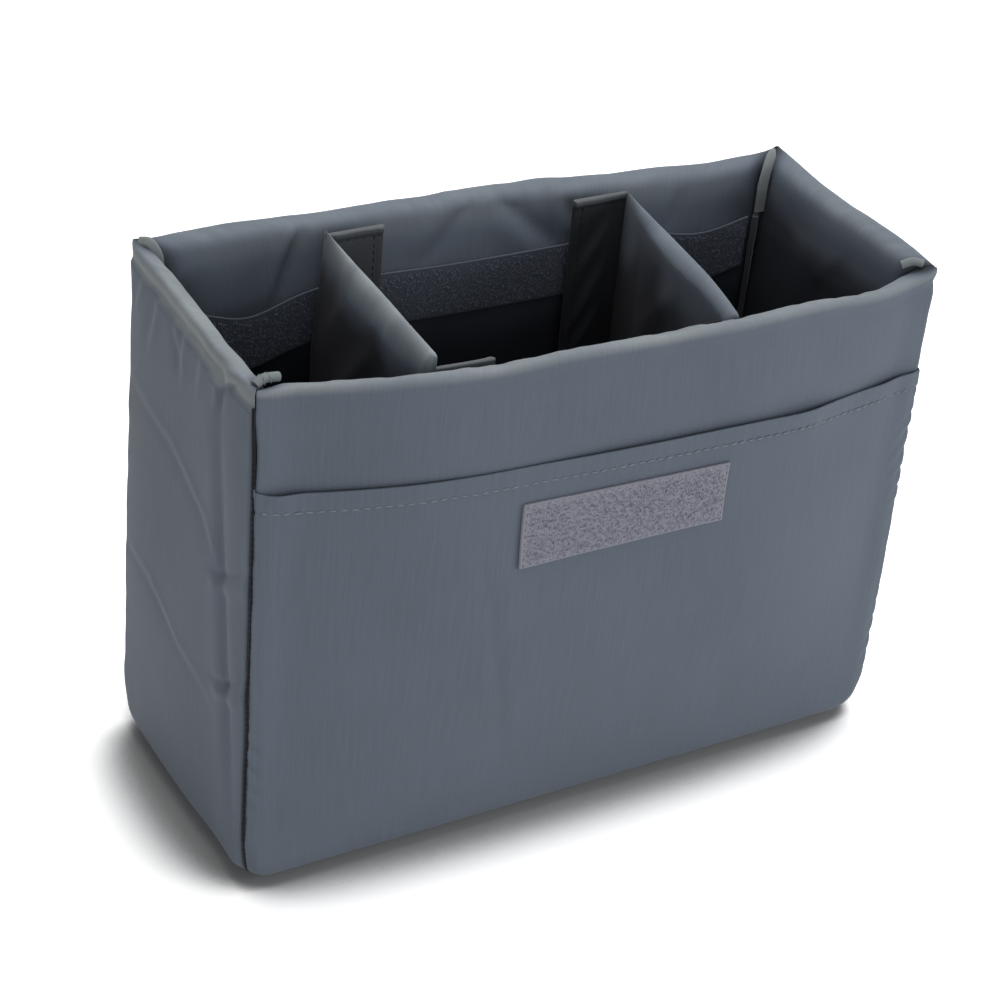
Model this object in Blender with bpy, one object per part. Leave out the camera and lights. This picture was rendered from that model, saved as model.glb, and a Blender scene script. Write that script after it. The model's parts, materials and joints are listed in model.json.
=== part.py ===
"""Padded camera bag insert: an open-topped fabric box with two lift-out dividers.

Four walls and a base are foam boards sewn into cloth. The front wall bows outwards towards its
rim and carries a flat cloth pocket with a hook-and-loop patch. Inside, a loop strip runs along
the front and back walls. Each divider is a thin padded panel with a flap at each end, and the
hook tape on a flap grips a loop strip.

Units are metres. +X runs to the right along the front, +Y to the back and +Z up. The origin is
the centre of the base's underside. Run it from Blender's text editor or from the command line.
"""

import math

import bmesh
import bpy
from mathutils import Matrix, Vector

# Overall sizes
WIDTH = 0.280                  # outside, left end to right end
DEPTH = 0.115                  # outside at the corners, front to back
HEIGHT = 0.211                 # underside of the base to the top of the rim
FRONT_BOW = 0.014              # how far the middle of the front rim stands out past the corners
BOW_FLAT_WIDTH = 0.090         # middle stretch of the front that bows out as one flat plane
BOW_END_MARGIN = 0.002         # straight stretch of the front wall beside each inner corner

# Cloth, boards and seats
CLOTH = 0.0008                 # one layer of backed nylon
SEAT_GAP = 0.0003              # clearance between two pieces that lie on each other
WALL_BOARD = 0.0098            # foam board in the walls
BASE_BOARD = 0.0098            # foam board in the base
FOOT_RADIUS = 0.010            # round along the foot of each wall

# Pocket and patch on the front
POCKET_DROP = 0.043            # from the rim down to the pocket's mouth
POCKET_HEM = 0.008             # depth of the fold along the mouth
POCKET_SLACK = 0.006           # how far the pocket's cloth stands off the wall at its fullest
POCKET_RISE = 0.060            # height over which the slack grows from the pocket's foot
POCKET_SIDE_INSET = 0.001      # from the box's corner seam to the pocket's edge
PATCH_WIDTH = 0.086
PATCH_HEIGHT = 0.025           # the usual width of this tape
PATCH_THICKNESS = 0.0018
PATCH_DROP = 0.0145            # from the pocket's mouth down to the patch's upper edge

# Loop strips inside the front and back walls
STRIP_DROP = 0.0245            # from the rim down to the strip's upper edge
STRIP_HEIGHT = 0.022
STRIP_THICKNESS = 0.0015

# Bound seam allowances that stand in the four inner corners
BINDING_THICKNESS = 0.003
BINDING_LENGTH = 0.008         # from its root in the corner to its folded edge
BINDING_DROP = 0.002           # from the rim down to its end

# Dividers
LEFT_COMPARTMENT = 0.0546      # left end wall to the left divider, half-way back
RIGHT_COMPARTMENT = 0.0697     # right divider to the right end wall, half-way back
LEFT_DIVIDER_SKEW = 0.0052     # how much further right its back end stands than its front end
RIGHT_DIVIDER_SKEW = 0.0113
DIVIDER_BOARD = 0.003
DIVIDER_DROP = 0.004           # from the rim down to the divider's upper edge
DIVIDER_EDGE_GAP = 0.0005      # divider's edge to the loop strip
EDGE_ROUND_SHARE = 0.25        # radius of a divider's edges, as a share of its thickness
FLAP_WIDTH = 0.017
FLAP_THICKNESS = 0.0016        # two layers of cloth
FLAP_LIFT = 0.001              # flap's lower edge above the divider's
FLAP_HINGE_GAP = 0.0004        # divider's face to the flap's fold line
HOOK_THICKNESS = 0.0012
HOOK_SIDE_INSET = 0.002        # bare edge of the flap beside the hook tape
HOOK_END_INSET = 0.004         # bare edge of the flap above and below the hook tape

# Facets
RIM_STEPS = 8
FOOT_STEPS = 4
LEG_ROWS = 7
BOW_STEPS = 6                  # facets from the flat middle of the front to each corner
BINDING_STEPS = 6
EDGE_ROUND_STEPS = 2
SMOOTH_ANGLE = math.radians(40)
CUT_OVERRUN = 0.002            # how far a cutter reaches past what it cuts

# Sizes that follow from the ones above
WALL = WALL_BOARD + 2 * (CLOTH + SEAT_GAP)
LINED = CLOTH + SEAT_GAP                       # from a cloth's outer face to the board under it
FLOOR = BASE_BOARD + 2 * (CLOTH + SEAT_GAP)    # top of the floor lining
WALL_LIFT = 2 * (CLOTH + SEAT_GAP)             # room under the walls for the pocket's folded foot
INNER_HALF_WIDTH = WIDTH / 2 - WALL
INNER_HALF_DEPTH = DEPTH / 2 - WALL
BOW_HALF_WIDTH = INNER_HALF_WIDTH - BOW_END_MARGIN
MITRE_GAP = SEAT_GAP / math.sqrt(2)
POCKET_MOUTH = HEIGHT - POCKET_DROP
POCKET_FACE = SEAT_GAP + 2 * CLOTH             # pocket's outer face, out from the wall's
STRIP_TOP = HEIGHT - STRIP_DROP
STRIP_END_INSET = SEAT_GAP + STRIP_THICKNESS + (BINDING_THICKNESS / 2 + SEAT_GAP) * math.sqrt(2)
DIVIDER = DIVIDER_BOARD + 2 * (CLOTH + SEAT_GAP)
DIVIDER_FOOT = FLOOR + SEAT_GAP
DIVIDER_TOP = HEIGHT - DIVIDER_DROP
DIVIDER_EDGE = WALL + SEAT_GAP + STRIP_THICKNESS + DIVIDER_EDGE_GAP
HOOK_FACE = WALL + SEAT_GAP + STRIP_THICKNESS + SEAT_GAP
FLAP_FACE = HOOK_FACE + HOOK_THICKNESS + SEAT_GAP
FLAP_BACK = FLAP_FACE + FLAP_THICKNESS         # the face that looks into the compartment

FRONT = -1
BACK = 1
NYLON = (0.127, 0.147, 0.168)
FOAM = (0.060, 0.062, 0.066)
LOOP_PILE = (0.060, 0.063, 0.072)
HOOK_PILE = (0.030, 0.031, 0.034)
PATCH_PILE = (0.242, 0.258, 0.342)
BINDING = (0.170, 0.185, 0.185)


def clear_scene():
    """Remove every object of the scene."""
    for old in list(bpy.data.objects):
        bpy.data.objects.remove(old, do_unlink=True)


def new_material(name, colour, roughness):
    """One Principled material for one piece."""
    material = bpy.data.materials.new(name)
    material.use_nodes = True
    shader = material.node_tree.nodes["Principled BSDF"]
    shader.inputs["Base Color"].default_value = (*colour, 1.0)
    shader.inputs["Roughness"].default_value = roughness
    shader.inputs["Metallic"].default_value = 0.0
    return material


def add_object(name, shape, colour, roughness, parent=None):
    """Make a mesh object from shape, whose points are in world coordinates."""
    bmesh.ops.recalc_face_normals(shape, faces=shape.faces)
    mesh = bpy.data.meshes.new(name)
    shape.to_mesh(mesh)
    shape.free()
    mesh.shade_smooth()
    mesh.set_sharp_from_angle(angle=SMOOTH_ANGLE)
    mesh.materials.append(new_material(name, colour, roughness))
    piece = bpy.data.objects.new(name, mesh)
    bpy.context.scene.collection.objects.link(piece)
    if parent is not None:
        mesh.transform(parent.matrix_basis.inverted())
        piece.parent = parent
    return piece


def add_axis(name, foot, head):
    """An empty at foot whose own Z points to head: a joint's axis for the pieces that it carries."""
    axis = bpy.data.objects.new(name, None)
    bpy.context.scene.collection.objects.link(axis)
    turn = Vector((0, 0, 1)).rotation_difference(head - foot)
    axis.matrix_basis = Matrix.Translation(foot) @ turn.to_matrix().to_4x4()
    return axis


def add_box(shape, low, high):
    """Add a box between two corners."""
    size = Vector(high) - Vector(low)
    centre = (Vector(high) + Vector(low)) / 2
    place = Matrix.Translation(centre) @ Matrix.Diagonal((*size, 1))
    return bmesh.ops.create_cube(shape, size=1, matrix=place)["verts"]


def add_facets(shape, corners):
    """Two triangles between four corners, split alike on every piece that follows the front's bow."""
    a, b, c, d = corners
    slope = (c.co.x - a.co.x) * (c.co.z - a.co.z)
    if (slope > 0) == (a.co.x + c.co.x < 0):
        shape.faces.new((a, b, c))
        shape.faces.new((a, c, d))
    else:
        shape.faces.new((a, b, d))
        shape.faces.new((b, c, d))


def loft(rings):
    """A closed solid through rings that have equal numbers of points, with a face on each end."""
    shape = bmesh.new()
    rows = [[shape.verts.new(point) for point in ring] for ring in rings]
    for row, following in zip(rows, rows[1:]):
        for i, corner in enumerate(row):
            j = (i + 1) % len(row)
            add_facets(shape, (corner, row[j], following[j], following[i]))
    shape.faces.new(rows[0])
    shape.faces.new(rows[-1])
    return shape


def arc(centre, radius, start, end, steps):
    """Points along an arc in a wall's section, both ends included, with its angles in degrees."""
    turns = [math.radians(start + (end - start) * i / steps) for i in range(steps + 1)]
    return [(centre[0] + radius * math.cos(a), centre[1] + radius * math.sin(a)) for a in turns]


def leg(start, end):
    """Points down or up a straight leg of a wall's section, without its end point."""
    shares = [i / LEG_ROWS for i in range(LEG_ROWS)]
    return [(start[0] + (end[0] - start[0]) * s, start[1] + (end[1] - start[1]) * s) for s in shares]


def bow_share(x):
    """1 over the flat middle of the front, falling in a curve to 0 beside the corners."""
    past = max(0.0, abs(x) - BOW_FLAT_WIDTH / 2)
    return max(0.0, 1 - (past / (BOW_HALF_WIDTH - BOW_FLAT_WIDTH / 2)) ** 2)


def wall_y(side, x, z, inset):
    """Where a front or back wall lies, at a depth of inset from its outer face."""
    if side == BACK:
        return DEPTH / 2 - inset
    return inset - DEPTH / 2 - FRONT_BOW * bow_share(x) * z / HEIGHT


def stations(side, low, high):
    """Places along X where a piece of the front or back wall has an edge."""
    if side == BACK:
        return [low, high]
    flat = BOW_FLAT_WIDTH / 2
    bend = [flat + (BOW_HALF_WIDTH - flat) * i / BOW_STEPS for i in range(BOW_STEPS + 1)]
    inner = [x for x in [-b for b in reversed(bend)] + bend if low < x < high]
    return [low] + inner + [high]


def wall_path(inset, foot_inset):
    """Section of a wall at a depth of inset: up the inside, over the rim and down to the foot."""
    rim = arc((WALL / 2, HEIGHT - WALL / 2), WALL / 2 - inset, 0, 180, RIM_STEPS)
    foot = arc((FOOT_RADIUS, WALL_LIFT + FOOT_RADIUS), FOOT_RADIUS - inset, 180, 270, FOOT_STEPS)
    inside = leg((WALL - inset, WALL_LIFT + foot_inset), rim[0])
    return inside + rim + leg(rim[-1], foot[0])[1:] + foot


def cover_section():
    """Cloth folded over the rim, open along its foot, where the board goes in."""
    return wall_path(0, 0) + list(reversed(wall_path(CLOTH, 0)))


def board_section():
    """Foam board inside the cloth."""
    return wall_path(LINED, LINED)


def add_wall_cover(name, side):
    """Cloth of the front or back wall, mitred to the cloth of the end walls."""
    section = cover_section()
    ends = [[(sign * (WIDTH / 2 - s - MITRE_GAP), s, z) for s, z in section] for sign in (-1, 1)]
    inner = stations(side, -BOW_HALF_WIDTH, BOW_HALF_WIDTH)
    rings = [ends[0]] + [[(x, s, z) for s, z in section] for x in inner] + [ends[1]]
    placed = [[(x, wall_y(side, x, z, s), z) for x, s, z in ring] for ring in rings]
    return add_object(name, loft(placed), NYLON, 0.62)


def add_end_cover(name, sign):
    """Cloth of an end wall, mitred to the cloth of the front and back walls."""
    rings = []
    for end in (-1, 1):
        rings.append([(sign * (WIDTH / 2 - s), end * (DEPTH / 2 - s - MITRE_GAP), z)
                      for s, z in cover_section()])
    return add_object(name, loft(rings), NYLON, 0.62)


def shoulder_cutters(name, side):
    """Boxes that shorten a board's top and foot at both ends, where the cloth folds in."""
    shape = bmesh.new()
    near, far = sorted((side * (INNER_HALF_DEPTH - CUT_OVERRUN), side * (DEPTH / 2 + CUT_OVERRUN)))
    top = (HEIGHT - WALL / 2 - SEAT_GAP, HEIGHT + CUT_OVERRUN)
    foot = (-CUT_OVERRUN, WALL_LIFT + FOOT_RADIUS)
    for low, high in (top, foot):
        for sign in (-1, 1):
            left, right = sorted((sign * (INNER_HALF_WIDTH - SEAT_GAP), sign * (WIDTH / 2 + CUT_OVERRUN)))
            add_box(shape, (left, near, low), (right, far, high))
    cutter = add_object(name, shape, FOAM, 0.9)
    cutter.hide_render = True
    cutter.display_type = "WIRE"
    return cutter


def add_wall_board(name, side):
    """Foam board of the front or back wall, as wide as the box."""
    half = WIDTH / 2 - LINED
    rings = [[(x, wall_y(side, x, z, s), z) for s, z in board_section()]
             for x in stations(side, -half, half)]
    board = add_object(name, loft(rings), FOAM, 0.9)
    cut = board.modifiers.new("Shoulders", "BOOLEAN")
    cut.operation = "DIFFERENCE"
    cut.object = shoulder_cutters(name + "_shoulder_cutters", side)
    return board


def add_end_board(name, sign):
    """Foam board of an end wall, held between the front and back boards."""
    half = INNER_HALF_DEPTH + LINED - SEAT_GAP
    rings = [[(sign * (WIDTH / 2 - s), y, z) for s, z in board_section()] for y in (-half, half)]
    return add_object(name, loft(rings), FOAM, 0.9)


def add_base():
    """Cloth tray under the base, its foam board and the lining that is the box's floor."""
    half_x = INNER_HALF_WIDTH - SEAT_GAP
    half_y = INNER_HALF_DEPTH - SEAT_GAP
    tray_top = FLOOR - LINED
    tray = bmesh.new()
    add_box(tray, (-half_x, -half_y, 0), (half_x, half_y, tray_top))
    open_top = [face for face in tray.faces if face.calc_center_median().z > tray_top - CLOTH]
    bmesh.ops.delete(tray, geom=open_top, context="FACES_ONLY")
    cover = add_object("base_cover", tray, NYLON, 0.62)
    cloth = cover.modifiers.new("Cloth", "SOLIDIFY")
    cloth.thickness = CLOTH
    cloth.offset = -1
    cloth.use_even_offset = True
    board = bmesh.new()
    add_box(board, (LINED - half_x, LINED - half_y, LINED), (half_x - LINED, half_y - LINED, tray_top))
    add_object("base_foam_board", board, FOAM, 0.9)
    lining = bmesh.new()
    add_box(lining, (-half_x, -half_y, FLOOR - CLOTH), (half_x, half_y, FLOOR))
    add_object("floor_lining", lining, NYLON, 0.66)


def pocket_slack(x, z):
    """How far the pocket stands off the wall: nothing at its foot and sides, most in the middle."""
    share = (z - WALL_LIFT - FOOT_RADIUS) / POCKET_RISE
    return POCKET_SLACK * bow_share(x) * min(1.0, max(0.0, share))


def pocket_path(outset):
    """Section of the pocket's cloth at a distance of outset from the wall, mouth to foot."""
    foot_centre = (FOOT_RADIUS, WALL_LIFT + FOOT_RADIUS)
    foot = arc(foot_centre, FOOT_RADIUS + outset, 180, 270, FOOT_STEPS)
    full = (-outset, WALL_LIFT + FOOT_RADIUS + POCKET_RISE)
    fold = (-outset, POCKET_MOUTH - POCKET_HEM)
    return [fold] + leg(full, foot[0]) + foot


def add_pocket():
    """Cloth pocket over the front, folded double along its mouth and sewn down at three sides."""
    outer = [(-POCKET_FACE, POCKET_MOUTH)] + pocket_path(POCKET_FACE)
    hem = [(-SEAT_GAP, POCKET_MOUTH - POCKET_HEM), (-SEAT_GAP, POCKET_MOUTH)]
    section = outer + list(reversed(pocket_path(SEAT_GAP + CLOTH))) + hem
    half = WIDTH / 2 - POCKET_SIDE_INSET
    rings = []
    for x in stations(FRONT, -half, half):
        ring = []
        for s, z in section:
            corner = math.copysign(half - max(0.0, s), x) if abs(x) == half else x
            ring.append((corner, wall_y(FRONT, x, z, s) - pocket_slack(x, z), z))
        rings.append(ring)
    return add_object("front_pocket", loft(rings), NYLON, 0.6)


def add_sheet(name, side, edges, rise, insets, colour, parent=None, slack=None):
    """A flat piece that follows a wall. edges(z) gives where it begins and ends at a height."""
    foot, top = (sorted(edges(z)) for z in rise)
    inner = stations(side, max(foot[0], top[0]), min(foot[1], top[1]))[1:-1]
    columns = [(foot[0], top[0])] + [(x, x) for x in inner] + [(foot[1], top[1])]
    rings = []
    for column in columns:
        ring = []
        for inset, level in ((insets[0], 0), (insets[1], 0), (insets[1], 1), (insets[0], 1)):
            x = column[level]
            z = rise[level]
            stand_off = slack(x, z) if slack else 0
            ring.append((x, wall_y(side, x, z, inset) - stand_off, z))
        rings.append(ring)
    return add_object(name, loft(rings), colour, 0.85, parent)


def add_patch():
    """Hook-and-loop patch sewn to the pocket, which holds the insert inside a bag."""
    top = POCKET_MOUTH - PATCH_DROP
    near = -(POCKET_FACE + SEAT_GAP)
    return add_sheet("front_fastening_patch", FRONT, lambda z: (-PATCH_WIDTH / 2, PATCH_WIDTH / 2),
                     (top - PATCH_HEIGHT, top), (near, near - PATCH_THICKNESS), PATCH_PILE,
                     slack=pocket_slack)


def add_loop_strip(name, side):
    """Loop strip sewn along the inside of the front or back wall."""
    half = INNER_HALF_WIDTH - STRIP_END_INSET
    face = WALL + SEAT_GAP
    return add_sheet(name, side, lambda z: (-half, half), (STRIP_TOP - STRIP_HEIGHT, STRIP_TOP),
                     (face, face + STRIP_THICKNESS), LOOP_PILE)


def add_corner_binding(name, sign_x, sign_y):
    """Bound seam allowance that stands out of an inner corner, on the diagonal."""
    half = BINDING_THICKNESS / 2
    root = half + SEAT_GAP * math.sqrt(2)
    edge = arc((BINDING_LENGTH - half, 0), half, 90, -90, BINDING_STEPS)
    outline = [(root, -half), (root, half)] + edge
    rings = []
    for z in (FLOOR + SEAT_GAP, HEIGHT - BINDING_DROP):
        ring = []
        for along, across in outline:
            x = sign_x * (INNER_HALF_WIDTH - (along - across) / math.sqrt(2))
            y = sign_y * (INNER_HALF_DEPTH - (along + across) / math.sqrt(2))
            ring.append((x, y, z))
        rings.append(ring)
    return add_object(name, loft(rings), BINDING, 0.7)


def divider_ring(faces, slant, inset, z):
    """Outline of a divider at one height, with rounded corners, inset from its outer size."""
    left, right = sorted(faces)
    outer = max(left, right, key=abs) - slant * INNER_HALF_DEPTH
    radius = EDGE_ROUND_SHARE * (right - left - 2 * inset)
    front = wall_y(FRONT, outer, z, DIVIDER_EDGE + inset) + radius
    back = wall_y(BACK, outer, z, DIVIDER_EDGE + inset) - radius
    low_x = left + inset + radius
    high_x = right - inset - radius
    ring = []
    corners = ((high_x, back), (low_x, back), (low_x, front), (high_x, front))
    for quarter, corner in enumerate(corners):
        bend = arc(corner, radius, 90 * quarter, 90 * quarter + 90, EDGE_ROUND_STEPS)
        ring += [(x + slant * y, y, z) for x, y in bend]
    return ring


def add_divider_cover(name, faces, slant, slide):
    """Cloth sleeve of a divider, rounded along its upper edge and open along its foot."""
    radius = EDGE_ROUND_SHARE * DIVIDER
    profile = [(CLOTH, DIVIDER_TOP - CLOTH), (CLOTH, DIVIDER_FOOT), (0, DIVIDER_FOOT)]
    profile += arc((radius, DIVIDER_TOP - radius), radius, 180, 90, EDGE_ROUND_STEPS)
    rings = [divider_ring(faces, slant, inset, z) for inset, z in profile]
    return add_object(name, loft(rings), NYLON, 0.62, slide)


def fold_point(side, face, slant, reach, z):
    """A point of a flap's fold line, beside the face of a divider that stands at a slant."""
    near_x = face + slant * wall_y(side, face, z, FLAP_BACK)
    y = wall_y(side, near_x, z, FLAP_BACK)
    clearance = FLAP_HINGE_GAP + abs(slant) * FLAP_THICKNESS
    return Vector((face + slant * y + reach * clearance, y, z))


def add_flap(name, side, face, slant, reach, slide):
    """A flap and its hook tape, turning about the fold beside the divider's edge."""
    foot = DIVIDER_FOOT + FLAP_LIFT
    ends = [fold_point(side, face, slant, reach, z) for z in (foot, DIVIDER_TOP)]
    hinge = add_axis(name + "_fold", *ends)

    def edges(z, inset=0):
        fold_x = fold_point(side, face, slant, reach, z).x
        return (fold_x + reach * inset, fold_x + reach * (FLAP_WIDTH - inset))

    add_sheet(name, side, edges, (foot, DIVIDER_TOP), (FLAP_FACE, FLAP_BACK), NYLON, hinge)
    add_sheet(name.replace("flap", "hook_tape"), side, lambda z: edges(z, HOOK_SIDE_INSET),
              (foot + HOOK_END_INSET, DIVIDER_TOP - HOOK_END_INSET),
              (HOOK_FACE, HOOK_FACE + HOOK_THICKNESS), HOOK_PILE, hinge)
    hinge.matrix_basis = slide.matrix_basis.inverted() @ hinge.matrix_basis
    hinge.parent = slide


def add_divider(name, outer_face, skew, reach):
    """One divider: its sleeve and board, and a flap at each end that points along reach."""
    slant = skew / (2 * INNER_HALF_DEPTH)
    inner_face = outer_face + reach * DIVIDER
    centre = Vector(((outer_face + inner_face) / 2, 0, DIVIDER_FOOT))
    slide = add_axis(name + "_lift", centre, centre + Vector((0, 0, DIVIDER_TOP - DIVIDER_FOOT)))
    faces = (outer_face, inner_face)
    add_divider_cover(name + "_cover", faces, slant, slide)
    board = [divider_ring(faces, slant, LINED, z) for z in (DIVIDER_FOOT + CLOTH, DIVIDER_TOP - LINED)]
    add_object(name + "_foam_board", loft(board), FOAM, 0.9, slide)
    add_flap(name + "_front_flap", FRONT, inner_face, slant, reach, slide)
    add_flap(name + "_back_flap", BACK, inner_face, slant, reach, slide)


def main():
    """Build the whole insert."""
    clear_scene()
    for name, side in (("front", FRONT), ("back", BACK)):
        add_wall_cover(name + "_cover", side)
        add_wall_board(name + "_foam_board", side)
        add_loop_strip(name + "_loop_strip", side)
    for name, sign in (("left", -1), ("right", 1)):
        add_end_cover(name + "_end_cover", sign)
        add_end_board(name + "_end_foam_board", sign)
        add_corner_binding("corner_binding_front_" + name, sign, FRONT)
        add_corner_binding("corner_binding_back_" + name, sign, BACK)
    add_base()
    add_pocket()
    add_patch()
    add_divider("left_divider", LEFT_COMPARTMENT - INNER_HALF_WIDTH, LEFT_DIVIDER_SKEW, 1)
    add_divider("right_divider", INNER_HALF_WIDTH - RIGHT_COMPARTMENT, RIGHT_DIVIDER_SKEW, -1)


main()
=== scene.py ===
"""Dresses a padded camera bag insert: nylon cloth over foam boards, tapes, bindings and stitching.

The file is laid out as an add-on and is run as a script. Each operator makes one group of pieces
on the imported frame, whose sizes and joints it reads. Units are metres. +X runs to the right along
the front, +Y to the back and +Z up, and the origin is under the middle of the base.
"""

import json
import math

import bmesh
import bpy
import numpy as np
from bpy.props import FloatProperty, FloatVectorProperty, IntProperty, PointerProperty
from mathutils import Matrix, Vector


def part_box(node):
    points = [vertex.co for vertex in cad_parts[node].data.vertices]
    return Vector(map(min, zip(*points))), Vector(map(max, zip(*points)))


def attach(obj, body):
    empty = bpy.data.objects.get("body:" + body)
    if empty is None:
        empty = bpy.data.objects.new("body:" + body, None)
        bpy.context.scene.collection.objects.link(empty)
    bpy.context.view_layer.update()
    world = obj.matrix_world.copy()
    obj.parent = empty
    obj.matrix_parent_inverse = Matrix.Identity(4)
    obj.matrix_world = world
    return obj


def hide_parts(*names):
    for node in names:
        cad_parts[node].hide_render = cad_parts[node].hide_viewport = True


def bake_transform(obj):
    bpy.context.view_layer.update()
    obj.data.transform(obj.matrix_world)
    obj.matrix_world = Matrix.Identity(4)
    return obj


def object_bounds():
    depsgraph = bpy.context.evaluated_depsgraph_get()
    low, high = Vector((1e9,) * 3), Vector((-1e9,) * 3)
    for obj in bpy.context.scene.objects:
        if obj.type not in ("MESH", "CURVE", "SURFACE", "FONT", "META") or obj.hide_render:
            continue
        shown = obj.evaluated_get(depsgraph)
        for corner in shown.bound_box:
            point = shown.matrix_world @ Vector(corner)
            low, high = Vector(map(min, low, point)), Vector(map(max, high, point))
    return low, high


bl_info = {
    "name": "Camera Bag Insert",
    "version": (1, 0, 0),
    "blender": (4, 5, 0),
    "location": "3D View > Sidebar > Bag Insert",
    "description": "Makes the cloth, foam, tapes and stitching of a padded camera bag insert",
    "category": "Object",
}

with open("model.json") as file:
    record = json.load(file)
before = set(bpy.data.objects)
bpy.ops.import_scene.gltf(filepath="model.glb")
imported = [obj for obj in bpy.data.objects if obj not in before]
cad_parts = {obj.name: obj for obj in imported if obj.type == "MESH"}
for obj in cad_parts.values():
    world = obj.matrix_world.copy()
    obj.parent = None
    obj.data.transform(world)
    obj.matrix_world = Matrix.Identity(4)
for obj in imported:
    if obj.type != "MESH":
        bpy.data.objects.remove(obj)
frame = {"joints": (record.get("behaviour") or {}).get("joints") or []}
CAD_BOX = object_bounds()
JOINTS = {joint["name"]: joint for joint in frame["joints"]}
MM = 0.001

# Sizes read from the frame
BACK_LOW, BACK_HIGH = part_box("back_cover")
FRONT_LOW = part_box("front_cover")[0]
WIDTH = CAD_BOX[1].x - CAD_BOX[0].x
HEIGHT = CAD_BOX[1].z
HALF_DEPTH = BACK_HIGH.y
WALL = BACK_HIGH.y - BACK_LOW.y
RIM_RADIUS = WALL / 2
WALL_LIFT = FRONT_LOW.z
FRONT_BOW = (-HALF_DEPTH - FRONT_LOW.y) * HEIGHT / (HEIGHT - RIM_RADIUS)
POCKET_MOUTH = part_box("front_pocket")[1].z
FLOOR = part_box("floor_lining")[1].z

# Sizes of the frame's shapes that its boxes don't give
BOW_FLAT_WIDTH = 90 * MM       # middle stretch of the front that bows out as one plane
BOW_HALF_WIDTH = 126 * MM
BOW_EASE = 0.1                 # softens the ends of the bow, as a share of it
FOOT_RADIUS = 10 * MM          # round along the foot of each wall
POCKET_FACE = 1.9 * MM         # pocket's outer face, out from the wall's
POCKET_SLACK = 6 * MM          # how far the pocket stands off the wall at its fullest
POCKET_RISE = 60 * MM          # height over which that slack grows
POCKET_HEM = 8 * MM
HEM_STITCHES = 7 * MM          # from the pocket's mouth down to its row of stitches
PATCH_DROP = 14.5 * MM         # from the pocket's mouth to the patch's upper edge
STRIP_RISE = 18.5 * MM         # from the pocket's mouth up to the loop strips' upper edge
STRIP_HEIGHT = 22 * MM
DIVIDER_THICKNESS = 5.2 * MM
FLAP_INSETS = (15.6 * MM, 17.2 * MM)   # a flap's two faces, in from the wall's outer plane
HOOK_INSETS = (14.1 * MM, 15.3 * MM)   # the same of its hook tape
FLAP_THICKNESS = 1.6 * MM
HOOK_BASE = 0.5 * MM           # woven base of the hook tape, without its hooks

# Seams and folds of the cloth
SEAM_ROUND = 2.6 * MM          # cloth rolls into a corner seam over this distance
SEAM_GAP = 0.25 * MM           # from a corner seam's middle to the cloth on each side
FLOOR_TUCK = 3 * MM            # how far the walls' cloth runs on below the floor lining
BOARD_CLEARANCE = 2.7 * MM     # from a wall's outer face to its foam board
BOARD_THICKNESS = 3.5 * MM
BOARD_TOP = 24 * MM            # from the rim down to a wall's foam board
DEEPEST_CREASE = 1.9 * MM      # creases press no further into the padding than this
RIM_NARROW = 5.0 * MM          # how much thinner than the wall its rim is, on the inside
RIM_NARROW_REACH = 22 * MM     # down to here the wall is thinner inside
CORNER_LEAN = 4.0 * MM         # the back left corner leans in so far at its top
FOOT_CORNER = 18 * MM          # how round the stuffed corners are where they meet the floor
FOOT_CORNER_RISE = 32 * MM     # height at which they have become square
CORNER_FLARE = 6.0 * MM        # the back right corner stands out so far at its top
# Where a rim stands high or low, in millimetres: height, place along the wall, and reach
RIM_DIPS = {"front": ((-4.6, 115, 27), (-1.6, 35, 50)), "back": ((-4.4, 84, 60), (1.2, -90, 30)),
            "left_end": (), "right_end": ((-3.4, 5, 32),)}
CORNER_REACH = 48 * MM         # a corner that stands high or low draws the rim with it so far
CORNER_RISES = {"front_left": 0.0, "front_right": -4.0 * MM, "back_left": 1.0 * MM,
                "back_right": -4.5 * MM}
# How far the pointed ear of each corner stands up
CORNER_EARS = {"front_left": 2.4 * MM, "front_right": 0.8 * MM, "back_left": 2.4 * MM,
               "back_right": 1.4 * MM}

ENDS = (("left", -1), ("right", 1))
SIDES = (("front", -1), ("back", 1))


def linear(hex_colour):
    """A colour given as sRGB hex, as the linear values that Blender works with."""
    value = hex_colour.lstrip("#")
    parts = [int(value[i:i + 2], 16) / 255 for i in (0, 2, 4)]
    return [p / 12.92 if p <= 0.04045 else ((p + 0.055) / 1.055) ** 2.4 for p in parts]


def colour_property(name, description, hex_colour):
    """A colour that a user may change, with its default as sRGB hex."""
    return FloatVectorProperty(name=name, description=description, subtype="COLOR", size=3,
                               min=0, max=1, default=linear(hex_colour))


def length_property(name, description, millimetres):
    """A length that a user may change, with its default in millimetres."""
    return FloatProperty(name=name, description=description, unit="LENGTH", min=0,
                         precision=5, default=millimetres * MM)


class InsertSizes(bpy.types.PropertyGroup):
    """Sizes of the cloth, the tapes and the stitching"""

    cloth: length_property("Cloth", "Thickness of the backed nylon", 0.7)
    crown: length_property("Crown", "How far the padding swells a wall between its seams", 1.5)
    pucker: length_property("Pucker", "Height of the gathers beside a sewn seam", 0.42)
    thread: length_property("Thread", "Thickness of the sewing thread", 0.7)
    hem_pitch: length_property("Hem Pitch", "From one stitch of the pocket's hem to the next", 3.9)
    seam_pitch: length_property("Seam Pitch", "From one stitch of a corner seam to the next", 2.6)
    pile: length_property("Pile", "Height of the loops on the loop tape", 0.9)
    hook_pitch: length_property("Hook Pitch", "From one hook to the next", 1.7)
    loop_count: IntProperty(name="Loops", description="Loops on a square centimetre of loop tape",
                            min=10, default=100)


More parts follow.
